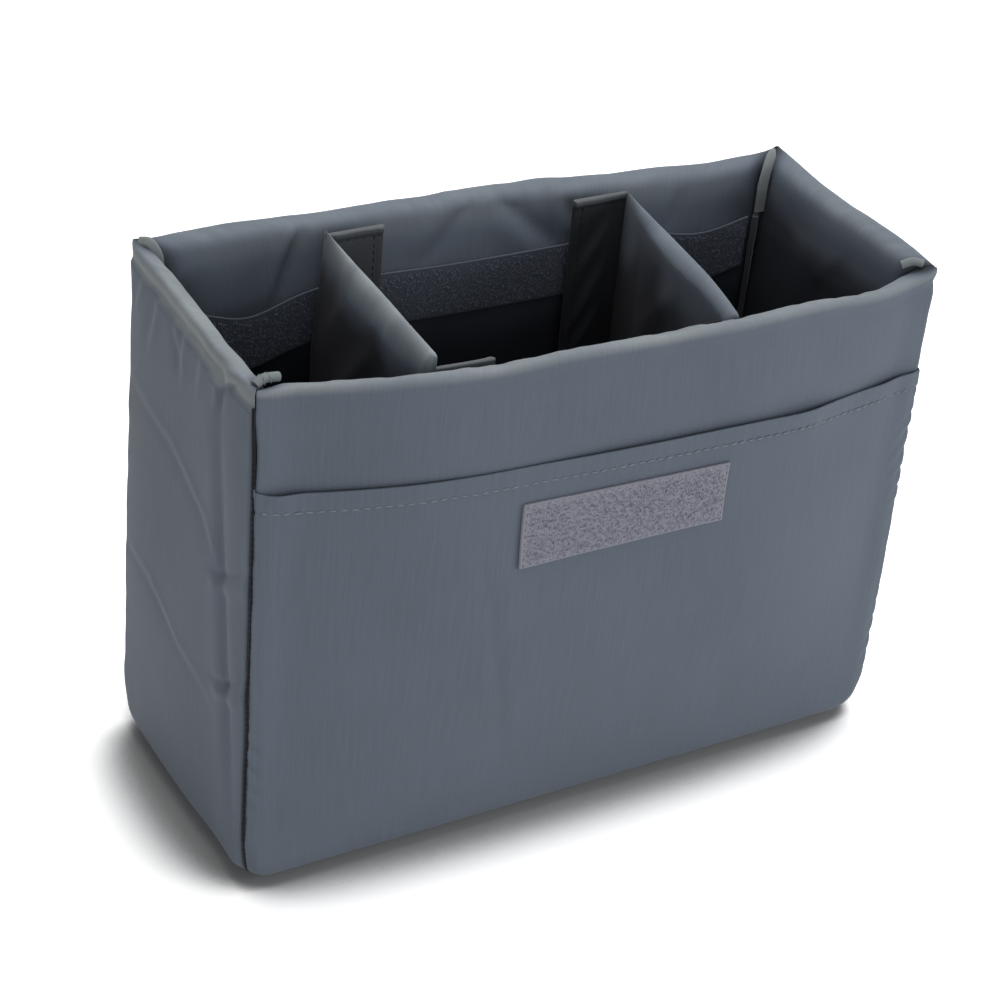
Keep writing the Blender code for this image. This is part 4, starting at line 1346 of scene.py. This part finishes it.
# Rolled ends of the corner seams: points of each path as millimetres in from the two outer walls
# and up from the rim, then each one's thickness and width in millimetres, and its turn
TAB_PATHS = {
    "front_left": ((2.5, 5.4, 0.8), (6.0, 6.4, 2.0), (11.5, 7.0, 1.3)),
    "back_left": ((2.4, 2.4, 0.6), (5.4, 5.4, 0.8), (7.8, 7.8, -3.6), (8.2, 8.2, -11.0)),
    "front_right": ((4.5, 5.0, 0.2), (8.0, 7.0, 0.8), (12.0, 8.4, -0.6)),
    "back_right": ((3.0, 3.6, -1.2), (6.4, 7.0, -0.6), (9.8, 10.6, -4.0),
                   (11.8, 12.8, -11.0), (12.0, 13.4, -21.0)),
}
TAB_ROLLS = {"front_left": (3.4, 3.6), "back_left": (2.8, 4.2), "front_right": (3.0, 3.6),
             "back_right": (1.6, 4.6)}
TAB_TURNS = {"front_left": -0.3, "back_left": math.pi / 4, "front_right": 0.3, "back_right": -math.pi / 4}


def make_corner_tab(corner, sign_x, sign_y):
    """The end of a corner seam's allowance, rolled over the rim into the corner.

    Its path is given as millimetres in from the two outer walls and up from the rim.
    """
    top = HEIGHT + CORNER_RISES[corner]
    hand = [Vector((sign_x * (WIDTH / 2 - x * MM), sign_y * (HALF_DEPTH - y * MM), top + z * MM))
            for x, y, z in TAB_PATHS[corner]]
    path = [Vector(point) for point in shape_box(smooth_path(hand, 0.5 * MM))]
    thickness, width = TAB_ROLLS[corner]
    tab = grow("corner_tab_" + corner, line_mesh(corner, path), "binding", Thickness=thickness * MM,
               Length=width * MM, Turn=TAB_TURNS[corner], Waviness=1.0 * MM, Material=finish("tab"))
    settle(tab, "shell")
    if corner == "front_left":
        parts = []
        for share in (0.35, 0.6):
            centre = path[int(share * (len(path) - 1))]
            turns = np.linspace(-0.1 * math.pi, 1.1 * math.pi, 9)
            ring = [centre + Vector((0.5 * MM * math.cos(a), -1.9 * MM * math.cos(a), 1.8 * MM * math.sin(a)))
                    for a in turns]
            parts.append(stitch_row(f"tab_stitch_{share}", ring, 1.5 * MM, 0.45 * MM, "hem_thread", 0.95, 3))
        settle(join("corner_tab_stitches", parts), "shell")
    return tab


def smooth_path(hand, step):
    """A smooth curve through a few given points, with points a step apart."""
    points = [hand[0]]
    padded = [2 * hand[0] - hand[1], *hand, 2 * hand[-1] - hand[-2]]
    for a, b, c, d in zip(padded, padded[1:], padded[2:], padded[3:]):
        count = max(2, round((c - b).length / step))
        for i in range(1, count + 1):
            s = i / count
            points.append(0.5 * (2 * b + (c - a) * s + (2 * a - 5 * b + 4 * c - d) * s ** 2
                                 + (3 * b - a - 3 * c + d) * s ** 3))
    return points


def seam_path(sign_x, side, top):
    """The line of a corner seam up the outside, in the groove between the two walls."""
    z = np.arange(WALL_LIFT + 4 * MM, top, 0.8 * MM)
    covered = smooth_step(POCKET_MOUTH + 8 * MM, POCKET_MOUTH - 2 * MM, z) * (side < 0)
    wander = 0.3 * MM * smooth_noise(z / (18 * MM), 0, 5 + sign_x + 3 * side)
    foot = FOOT_RADIUS - np.sqrt(FOOT_RADIUS ** 2 - np.clip(WALL_LIFT + FOOT_RADIUS - z, 0, FOOT_RADIUS) ** 2)
    sharp = smooth_step(HEIGHT - 22 * MM, HEIGHT - 9 * MM, z)
    sunk = 0.8 * MM * (1 - 0.75 * sharp) if sign_x < 0 and side < 0 else 2.2 * MM
    x = sign_x * (WIDTH / 2 - sunk - foot + wander)
    y = side * (HALF_DEPTH - sunk - foot + 0.8 * MM * covered)
    return shape_box(np.stack([x, y, z], -1))


# Dividers

SLEEVE_RISE = {"left_divider": 4.8 * MM, "right_divider": 0.0}       # cloth stands above its board
FLAP_RISES = {"left_divider": (-1.6 * MM, 3.8 * MM), "right_divider": (-6.0 * MM, 0.0)}
# Lines of the creases in a sleeve and in a flap, as places in millimetres
DIVIDER_FOLDS = (((-20, 196), (0, 176), (18, 158)), ((-34, 188), (-16, 166), (0, 150)),
                 ((10, 200), (24, 184), (34, 172)))
FLAP_CREASES = (((1, 198), (6, 188), (13, 176)), ((1, 180), (7, 168), (15, 150)),
                ((3, 160), (8, 150), (14, 138)))


class Divider:
    """Where one divider stands, from its joints and its box."""

    def __init__(self, name, reach):
        self.name = name
        self.reach = reach
        low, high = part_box(name + "_cover")
        front = JOINTS[name + "_front_flap_fold"]["pos_m"]
        back = JOINTS[name + "_back_flap_fold"]["pos_m"]
        self.slant = (back[0] - front[0]) / (back[1] - front[1])
        self.middle = (low.x + high.x) / 2 - self.slant * (low.y + high.y) / 2
        self.foot, self.top = low.z, high.z + SLEEVE_RISE[name]
        self.edge_inset = HALF_DEPTH - high.y
        self.back_y = high.y

    def front_y(self, z):
        """Where the divider's front edge stands at a height."""
        x = self.middle - self.slant * (HALF_DEPTH - self.edge_inset)
        return inner_place(-1, x + 0 * z, z, self.edge_inset)[..., 1]

    def fold(self, side):
        """A point of a flap's fold line and the line's direction, upwards."""
        joint = JOINTS[f"{self.name}_{'front' if side < 0 else 'back'}_flap_fold"]
        axis = Vector(joint["axis"])
        return Vector(joint["pos_m"]), axis * (1 if axis.z > 0 else -1)

    def fold_x(self, side, z):
        """The fold line's place along X at a height."""
        point, direction = self.fold(side)
        return point.x + direction.x / direction.z * (z - point.z)


def make_sleeve(divider, seed):
    """The divider's cloth sleeve: a thin pad whose top slopes up to the seam on its right edge."""
    half = DIVIDER_THICKNESS / 2
    # band is how strongly the sleeve's top is painted paler: painted highlight
    slope_height, band = (10 * MM, 0.5) if divider.reach > 0 else (4.0 * MM, 0.12)
    bulge = 1.0 * MM
    seam_width = 1.5 * MM
    leg = divider.top - slope_height - divider.foot
    left = np.linspace(0, leg, 84)
    slope = np.linspace(0, 1, 14)[1:]
    edge = np.linspace(0, 1, 8)[1:]
    right = np.linspace(0, divider.top - seam_width - divider.foot, 88)[1:]
    share = spread(0, 1, 0.004, 0.022)[None, :]
    wave = 1 + 0.16 * smooth_noise(share * 8, 0, seed) + 0.08 * smooth_noise(share * 21, 0, seed + 1)
    rows = []
    middle = np.sin(math.pi * np.clip(share, 0, 1)) ** 1.6
    for rise in left:
        z = divider.foot + rise * (leg + slope_height * (1 - wave)) / leg
        out = bulge * middle * math.exp((rise - leg) / (22 * MM))
        rows.append((-half - out, z, -1 + 0 * share))
    for step in slope:
        edge_x = -half - bulge * middle
        x = edge_x + (half - seam_width - edge_x) * (1 - math.cos(math.pi / 2 * step)) ** 0.9
        z = divider.top - slope_height * wave * (1 - math.sin(math.pi / 2 * step))
        rows.append((x, z, -(1 - step) + 0 * share))
    for turn in edge * math.pi / 2:
        rows.append((half - seam_width + seam_width * math.sin(turn) + 0 * share,
                     divider.top - seam_width * (1 - math.cos(turn)) + 0 * share, math.sin(turn) + 0 * share))
    for fall in right:
        rows.append((half + 0 * share, divider.top - seam_width - fall + 0 * share, 1 + 0 * share))
    x, z, out = (np.stack([row[i][0] if row[i].ndim == 2 else row[i] for row in rows]) for i in range(3))
    front, back = divider.front_y(z), divider.back_y
    y = front + (back - front) * share
    away = np.minimum(y - front, back - y)
    full = np.sqrt(1 - np.clip(1 - away / half, 0, 1) ** 2)
    under_flap = np.where(np.sign(x) == divider.reach, 26 * MM, 6 * MM)
    free = 1 - np.exp(-np.maximum(0, away - under_flap) / (14 * MM))
    swell = 0.9 * MM * free * (1 - np.exp(-np.maximum(0, divider.top - z) / (12 * MM)))
    swells = 0.6 * MM * smooth_noise(y / (24 * MM), z / (30 * MM) + np.sign(x), seed + 2)
    folds = sum(fold(y, z, line, 4.0, 0.7, 0.8) for line in DIVIDER_FOLDS) * (x < 0)
    relief = (swell + swells * free + folds * free) * np.abs(out) ** 2
    seam = -0.45 * MM * np.exp(-(((z - divider.top + 2.3 * MM) / (0.5 * MM)) ** 2)) * (x > half - 0.1 * MM)
    lowered = (1 - full) * 0.5 * half * smooth_step(divider.top - 8 * MM, divider.top, z)
    pinch_depth = (46 if divider.reach > 0 else 400) * MM
    drawn_in = np.clip(1 - np.maximum(0, divider.top - z) / pinch_depth, 0, 1)
    opened = 1 - drawn_in * (1 - np.clip((back - y) / (42 * MM), 0, 1)) ** 1.5
    if divider.reach < 0:
        near_front = np.clip(1 - (y - front) / (34 * MM), 0, 1) ** 2
        lowered = lowered + 3.2 * MM * near_front * smooth_step(divider.top - 40 * MM, divider.top, z)
    sewn_x = half - 0.6 * MM
    x = sewn_x + (x - sewn_x) * opened
    x = (x + out * relief * opened + seam - sewn_x) * full + sewn_x + divider.middle + divider.slant * y
    points = np.stack([x, y, z - lowered], -1)
    lengths = np.concatenate([[0], np.cumsum(np.linalg.norm(np.diff(points[:, 40], axis=0), axis=-1))])
    mesh = grid_mesh(divider.name, points, y, lengths[:, None] + 0 * y, flip=True)
    # The sleeve's tone: painted highlight along its top, and painted shade that darkens its faces further
    # down, in uneven patches over the folds
    depth = divider.top - z
    rubbed = np.exp(-np.maximum(0, depth - 0.15 * slope_height * wave) / (4.5 * MM))
    painted_light_patches = smooth_noise((y + 0.8 * z) / (13 * MM), (z - 0.5 * y) / (24 * MM), seed + 8)
    painted_light_patchiness, light, dark = (3 * MM, 9 * MM, 25 * MM) if divider.reach > 0 else (10 * MM, 4 * MM, 36 * MM)
    shaded = depth + 7 * MM * smooth_noise(y / (16 * MM), 0, seed + 6) + painted_light_patchiness * painted_light_patches
    set_tone(mesh, 0.5 + band * rubbed * (0.8 + 0.2 * smooth_noise(y / (6 * MM), 0, seed + 4))
             - 0.5 * smooth_step(light, dark, shaded))
    merge(mesh)
    sleeve = add_piece(divider.name + "_sleeve", mesh, "walls")
    return settle(sleeve, divider.name, [divider.name + "_cover"])


def merge(mesh):
    """Close a mesh where its edges meet, with its faces pointing out."""
    shape = bmesh.new()
    shape.from_mesh(mesh)
    bmesh.ops.remove_doubles(shape, verts=shape.verts, dist=1e-6)
    holes = [edge for edge in shape.edges if edge.is_boundary]
    if holes:
        bmesh.ops.holes_fill(shape, edges=holes, sides=0)
    bmesh.ops.recalc_face_normals(shape, faces=shape.faces)
    shape.to_mesh(mesh)
    shape.free()


def make_divider_board(divider):
    """The foam board inside a divider's sleeve."""
    clearance = 0.5 * MM
    low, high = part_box(divider.name + "_foam_board")

    def place(u, v, off):
        front = divider.front_y(v) + 4 * MM
        y = front + (divider.back_y - 28 * MM - front) * u
        return np.stack(np.broadcast_arrays(divider.middle + divider.slant * y + off, y, v), -1)

    mesh = slab_mesh(divider.name + "_foam", spread(0, 1, 0.006, 0.08),
                     spread(low.z + clearance, high.z - 5 * MM, 0.4 * MM, 8 * MM), 2.6 * MM, 0.02, place)
    board = add_piece(divider.name + "_foam", mesh, "foam")
    return settle(board, divider.name, [divider.name + "_foam_board"])


def make_flap(divider, side):
    """One flap: doubled cloth that turns at its fold, with hook tape on the face to the wall."""
    name = f"{divider.name}_{'front' if side < 0 else 'back'}_flap"
    low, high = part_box(name)
    top = high.z + FLAP_RISES[divider.name][side > 0]
    tape_low, tape_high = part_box(name.replace("flap", "hook_tape"))
    width = (22 if divider.reach > 0 else 19) * MM
    root = 1.6 * MM
    if side > 0 and divider.reach < 0:
        sewn_x = divider.middle + divider.slant * divider.back_y + DIVIDER_THICKNESS / 2 - 1 * MM
        root = max(root, sewn_x - divider.fold_x(side, (low.z + high.z) / 2))
    face, back = FLAP_INSETS
    seed = 31 + side + 5 * divider.reach

    def place(u, v, off):
        x = divider.fold_x(side, v) + divider.reach * u
        return inner_place(side, x, v, (face + back) / 2 + off)

    def relief(u, v):
        wave = 0.35 * MM * (1 + smooth_noise(u / (11 * MM), v / (17 * MM), seed))
        crease = sum(fold(u, v, line, 1.8, 1.0, 0.9) for line in FLAP_CREASES)
        band = 0.6 * MM * smooth_step(top - 3.2 * MM, top - 2.0 * MM, v)
        band = band - 0.3 * MM * np.exp(-(((v - top + 3.6 * MM) / (0.6 * MM)) ** 2))
        edge = 0.25 * MM * smooth_step(width - 3.0 * MM, width - 2.4 * MM, u)
        free = smooth_step(0, 3 * MM, u)
        return (wave + crease) * free + band + edge

    mesh = slab_mesh(name + "_cloth", spread(-root, width, 0.15 * MM, 0.8 * MM),
                     spread(low.z, top, 0.2 * MM, 1.8 * MM), FLAP_THICKNESS, FLAP_THICKNESS / 2, place,
                     relief)
    heights = np.array([vertex.co.z for vertex in mesh.vertices])
    # Each flap's top edge is painted paler, as highlight and wear, and the left divider's back flap is
    # painted lighter all over, where more light reaches it: painted light
    painted_light_tone = 0.7 if side > 0 and divider.reach > 0 else 0.5
    set_tone(mesh, painted_light_tone + (0.86 - painted_light_tone) * smooth_step(top - 2.6 * MM, top - 1.8 * MM, heights))
    flap = add_piece(name + "_cloth", mesh, "flap")
    stitch_z = np.arange(low.z + 5 * MM, top - 4 * MM, 1 * MM)
    row = place(width - 4 * MM, stitch_z, FLAP_THICKNESS / 2 + relief(width - 4 * MM, stitch_z))
    stitches = stitch_row(name + "_stitches", row, 3.0 * MM, 0.4 * MM, "seam_thread", 0.7, seed)
    stitch_u = np.arange(1 * MM, width - 1 * MM, 0.5 * MM)
    top_z = top - 3.6 * MM + 0 * stitch_u
    row = place(stitch_u, top_z, FLAP_THICKNESS / 2 + relief(stitch_u, top_z))
    top_stitches = stitch_row(name + "_top_stitches", row, 3.0 * MM, 0.4 * MM, "seam_thread", 0.7, seed + 1)
    side_inset = 2 * MM

    def tape_place(u, v, off):
        x = divider.fold_x(side, v) + divider.reach * u
        return inner_place(side, x, v, HOOK_INSETS[1] - HOOK_BASE / 2 - off)

    tape_mesh = slab_mesh(name + "_hook_base", spread(side_inset, width - side_inset, 0.15 * MM, 1.2 * MM),
                          spread(tape_low.z, tape_high.z, 0.2 * MM, 3 * MM), HOOK_BASE, 0.2 * MM, tape_place)
    tape = add_piece(name.replace("flap", "hook_tape") + "_woven", tape_mesh, "hook_tape")
    pitch = sizes().hook_pitch
    u = np.arange(side_inset + pitch / 2, width - side_inset, pitch)[None, :]
    v = np.arange(tape_low.z + pitch / 2, tape_high.z, pitch)[:, None]
    facing = divider.reach * side > 0
    bed = grid_mesh(name, tape_place(u, v, HOOK_BASE / 2 + 0 * u * v), u + 0 * v, v + 0 * u, flip=facing)
    hooks = grow(name.replace("flap", "hooks"), bed, "hooks", Height=0.6 * MM, Wire=0.1 * MM, Seed=seed,
                 Material=finish("hooks"))
    middle = divider.fold_x(side, (low.z + high.z) / 2)
    y = side * (HALF_DEPTH - (face + back) / 2)
    if side < 0:
        y -= FRONT_BOW * 0.5
    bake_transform(flap)
    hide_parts(name)
    settle(stitches, name)
    settle(top_stitches, name)
    settle(tape, name, [name.replace("flap", "hook_tape")])
    settle(hooks, name)
    return flap


class InsertOperator:
    """What the insert's operators have in common."""

    bl_options = {"REGISTER", "UNDO"}


class INSERT_OT_stage(InsertOperator, bpy.types.Operator):
    """Set the camera, the lamps, the world and the pale floor"""

    bl_idname = "insert.stage"
    bl_label = "Stage"

    # The camera stands at the photograph's viewing angle
    place = (-0.442, -0.700, 0.621)
    heading = math.radians(31.81)
    dip = math.radians(32.01)
    roll = math.radians(5.13)
    lens = 90.9

    # Each soft lamp's place, the width of its box and its power
    lamps = (("overhead_softbox", (0.10, 0.10, 1.3), 1.0, 8.0),
             ("back_softbox", (0.25, 0.60, 1.1), 0.9, 4.0),
             ("front_softbox", (-0.55, -1.45, 0.45), 0.9, 4.0),
             ("left_softbox", (-1.5, -0.45, 0.45), 0.9, 0.8),
             ("right_softbox", (1.2, -1.0, 0.5), 0.9, 9.0))
    aim = (0.0, 0.0, 0.1)
    ambient = 0.2

    def execute(self, context):
        scene = context.scene
        camera = bpy.data.objects.new("camera", bpy.data.cameras.new("camera"))
        camera.data.lens = self.lens
        camera.data.sensor_width = 36
        camera.data.clip_start = 0.01
        camera.data.clip_end = 20
        forward = Vector((math.sin(self.heading) * math.cos(self.dip),
                          math.cos(self.heading) * math.cos(self.dip), -math.sin(self.dip)))
        level = Vector((math.cos(self.heading), -math.sin(self.heading), 0))
        upright = level.cross(forward)
        right = level * math.cos(self.roll) + upright * math.sin(self.roll)
        up = upright * math.cos(self.roll) - level * math.sin(self.roll)
        turn = Matrix((right, up, -forward)).transposed().to_4x4()
        camera.matrix_world = Matrix.Translation(self.place) @ turn
        scene.collection.objects.link(camera)
        scene.camera = camera
        for name, place, size, watts in self.lamps:
            self.add_lamp(scene, name, place, self.aim, size, watts)
        self.add_world(scene)
        self.add_floor(scene)
        scene.view_settings.view_transform = "Standard"
        return {"FINISHED"}

    @staticmethod
    def add_lamp(scene, name, place, aim, size, watts):
        """A square soft lamp that shines on a point."""
        data = bpy.data.lights.new(name, "AREA")
        data.shape = "SQUARE"
        data.size = size
        data.energy = watts
        lamp = bpy.data.objects.new(name, data)
        direction = Vector(aim) - Vector(place)
        turn = direction.to_track_quat("-Z", "Y").to_matrix().to_4x4()
        lamp.matrix_world = Matrix.Translation(place) @ turn
        scene.collection.objects.link(lamp)

    @staticmethod
    def seen_rays(tree):
        """1 for what the camera sees, straight on, mirrored or through glass."""
        rays = add_node(tree, "ShaderNodeLightPath").outputs
        seen = add_node(tree, "ShaderNodeMath", {0: rays["Is Camera Ray"], 1: rays["Is Glossy Ray"]},
                        operation="MAXIMUM").outputs[0]
        return add_node(tree, "ShaderNodeMath", {0: seen, 1: rays["Is Transmission Ray"]},
                        operation="MAXIMUM").outputs[0]

    def add_world(self, scene):
        """Even light from all round, and plain white wherever the camera sees past the floor."""
        world = bpy.data.worlds.new("studio")
        world.use_nodes = True
        tree = world.node_tree
        tree.nodes.clear()
        seen = self.seen_rays(tree)
        ambient = add_node(tree, "ShaderNodeBackground", {"Color": (1, 1, 1, 1), "Strength": self.ambient})
        white = add_node(tree, "ShaderNodeBackground", {"Color": (1, 1, 1, 1), "Strength": 1.0})
        mixed = add_node(tree, "ShaderNodeMixShader", {0: seen, 1: ambient.outputs[0],
                                                       2: white.outputs[0]})
        add_node(tree, "ShaderNodeOutputWorld", {"Surface": mixed.outputs[0]})
        scene.world = world

    def add_floor(self, scene):
        """Matt white board that glows a little for the camera, with a painted shadow in the angle at the
        foot.

        For the camera and in reflections, ambient occlusion darkens its glow and its colour near the insert,
        beside the lamps' own shadows. This painted shadow leans to the left, because the occlusion's normal
        is tilted.
        """
        half, level = 1.3, -0.2 * MM
        mesh = bpy.data.meshes.new("floor")
        mesh.from_pydata([(-half, -half, level), (half, -half, level), (half, half, level),
                          (-half, half, level)], [], [(0, 1, 2, 3)])
        material, tree, shader = new_material("matt_painted_board", 0.9, Specular_IOR_Level=0.1)
        place = add_node(tree, "ShaderNodeTexCoord").outputs["Object"]
        grain = add_node(tree, "ShaderNodeTexNoise", {"Vector": place, "Scale": 40.0}).outputs["Fac"]
        tint = add_node(tree, "ShaderNodeValToRGB", {"Fac": grain})
        tint.color_ramp.elements[0].color = shade(colours().floor, 0.995)
        tint.color_ramp.elements[1].color = shade(colours().floor, 1.005)
        tree.links.new(tint.outputs["Color"], shader.inputs["Base Color"])
        # The tilted normal makes the painted shadow reach further on the left and less far in front
        painted_shadow_lean = add_node(tree, "ShaderNodeCombineXYZ", {"X": 0.15, "Y": -0.12, "Z": 1.0}).outputs[0]
        angle = add_node(tree, "ShaderNodeAmbientOcclusion", {"Distance": 0.055, "Normal": painted_shadow_lean},
                         samples=24).outputs["AO"]
        # Painted shadow: the glow fades out towards the foot
        glow_with_painted_shadow = add_node(tree, "ShaderNodeMapRange", {"Value": angle, "From Min": 0.53, "From Max": 0.8,
                                                     "To Min": 0.0, "To Max": 0.62},
                        interpolation_type="SMOOTHSTEP").outputs["Result"]
        pale = add_node(tree, "ShaderNodeEmission", {"Color": (1, 1, 1, 1), "Strength": glow_with_painted_shadow}).outputs[0]
        # Painted shadow: the board's colour darkens towards the foot
        white = add_node(tree, "ShaderNodeMapRange", {"Value": angle, "From Min": 0.5, "From Max": 0.69,
                                                      "To Min": 0.4, "To Max": 1.0}).outputs["Result"]
        colour_with_painted_shadow = add_node(tree, "ShaderNodeCombineColor", dict.fromkeys(("Red", "Green", "Blue"), white)
                       ).outputs[0]
        matt = add_node(tree, "ShaderNodeBsdfDiffuse", {"Color": colour_with_painted_shadow}).outputs[0]
        shown = add_node(tree, "ShaderNodeAddShader", {0: matt, 1: pale}).outputs[0]
        mixed = add_node(tree, "ShaderNodeMixShader", {0: self.seen_rays(tree), 1: shader.outputs[0],
                                                       2: shown}).outputs[0]
        tree.links.new(mixed, tree.nodes["Material Output"].inputs["Surface"])
        mesh.materials.append(material)
        board = bpy.data.objects.new("floor", mesh)
        scene.collection.objects.link(board)


class INSERT_OT_walls(InsertOperator, bpy.types.Operator):
    """Make the padded walls: a foam board in each, and the cloth that is folded over it"""

    bl_idname = "insert.walls"
    bl_label = "Walls"

    def execute(self, context):
        walls = (("front", -1, 0, front_relief, "front_left", "front_right", 101, 0.45 * MM),
                 ("back", 1, 0, back_relief, "back_left", "back_right", 103, 0.7 * MM),
                 ("left_end", 0, -1, left_relief, "front_left", "back_left", 105, 0.8 * MM),
                 ("right_end", 0, 1, right_relief, "front_right", "back_right", 107, 0.5 * MM))
        for name, side, end, relief, low_corner, high_corner, seed, wave in walls:
            half = WIDTH / 2 if side else HALF_DEPTH
            lift = rim_lift(name, low_corner, high_corner, half, seed, wave)
            cloth = wall_cloth(name + "_wall_cloth", side, end, relief, lift)
            settle(cloth, "shell", [name + "_cover"])
            make_wall_board(name, side, end)
        return {"FINISHED"}


class INSERT_OT_pocket(InsertOperator, bpy.types.Operator):
    """Make the flat pocket on the front, with its hem and its stitching"""

    bl_idname = "insert.pocket"
    bl_label = "Pocket"

    def execute(self, context):
        make_pocket()
        x = np.arange(-WIDTH / 2 + 4 * MM, WIDTH / 2 - 4 * MM, 1 * MM)
        row = pocket_face(x, POCKET_MOUTH - HEM_STITCHES + 0 * x, 0.25 * MM)
        stitches = stitch_row("pocket_hem_stitches", row, sizes().hem_pitch, sizes().thread, "hem_thread",
                              0.74, 5)
        settle(stitches, "shell")
        return {"FINISHED"}


class INSERT_OT_base(InsertOperator, bpy.types.Operator):
    """Make the base: its cloth tray, its foam board and the lining on the floor"""

    bl_idname = "insert.base"
    bl_label = "Base"

    def execute(self, context):
        make_base_cloth()
        make_base_board()
        make_floor_lining()
        return {"FINISHED"}


class INSERT_OT_tapes(InsertOperator, bpy.types.Operator):
    """Make the fastening patch on the pocket and the loop strips inside the walls"""

    bl_idname = "insert.tapes"
    bl_label = "Tapes"

    def execute(self, context):
        make_patch()
        for name, side in SIDES:
            make_strip(name, side)
        return {"FINISHED"}


class INSERT_OT_seams(InsertOperator, bpy.types.Operator):
    """Make the corner seams: their stitches, the bound allowances inside and their rolled ends"""

    bl_idname = "insert.seams"
    bl_label = "Corner Seams"

    def execute(self, context):
        for side_name, side in SIDES:
            for end_name, end in ENDS:
                corner = f"{side_name}_{end_name}"
                make_binding(corner, end, side)
                make_corner_tab(corner, end, side)
                top = HEIGHT - RIM_RADIUS + (2 if corner == "front_left" else -16) * MM
                stitches = stitch_row("corner_stitches_" + corner, seam_path(end, side, top - 22 * MM),
                                      sizes().seam_pitch, 1.5 * MM, "seam_thread", 0.98, 13)
                settle(stitches, "shell")
                # A dark cord in the groove stands for the seam's thread and for painted shade in the groove
                groove = line_mesh(corner, seam_path(end, side, top))
                groove_shade_cord = grow("corner_thread_" + corner, groove, "binding", Thickness=1.15 * MM,
                            Length=1.15 * MM, Turn=0.0, Waviness=0.0, Material=finish("seam_thread"))
                settle(groove_shade_cord, "shell")
        return {"FINISHED"}


class INSERT_OT_dividers(InsertOperator, bpy.types.Operator):
    """Make the two lift-out dividers, each with a foam board, a sleeve and two flaps"""

    bl_idname = "insert.dividers"
    bl_label = "Dividers"

    def execute(self, context):
        for name, reach in (("left_divider", 1), ("right_divider", -1)):
            divider = Divider(name, reach)
            make_sleeve(divider, 51 + reach)
            make_divider_board(divider)
            for _, side in SIDES:
                make_flap(divider, side)
        return {"FINISHED"}


OPERATORS = (INSERT_OT_stage, INSERT_OT_walls, INSERT_OT_base, INSERT_OT_pocket, INSERT_OT_tapes,
             INSERT_OT_seams, INSERT_OT_dividers)


class INSERT_PT_panel(bpy.types.Panel):
    """The insert's groups of pieces, with their sizes and colours"""

    bl_idname = "INSERT_PT_panel"
    bl_label = "Bag Insert"
    bl_space_type = "VIEW_3D"
    bl_region_type = "UI"
    bl_category = "Bag Insert"

    def draw(self, context):
        for operator in OPERATORS:
            self.layout.operator(operator.bl_idname)
        for group in (context.scene.insert_sizes, context.scene.insert_colours):
            box = self.layout.box()
            for name in group.__annotations__:
                box.prop(group, name)


CLASSES = (InsertSizes, InsertColours, *OPERATORS, INSERT_PT_panel)


def register():
    for each in CLASSES:
        bpy.utils.register_class(each)
    bpy.types.Scene.insert_sizes = PointerProperty(type=InsertSizes)
    bpy.types.Scene.insert_colours = PointerProperty(type=InsertColours)


def unregister():
    del bpy.types.Scene.insert_colours
    del bpy.types.Scene.insert_sizes
    for each in reversed(CLASSES):
        bpy.utils.unregister_class(each)


def main():
    """Make every piece."""
    register()
    for operator in OPERATORS:
        group, name = operator.bl_idname.split(".")
        getattr(getattr(bpy.ops, group), name)()
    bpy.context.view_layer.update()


if __name__ == "__main__":
    main()
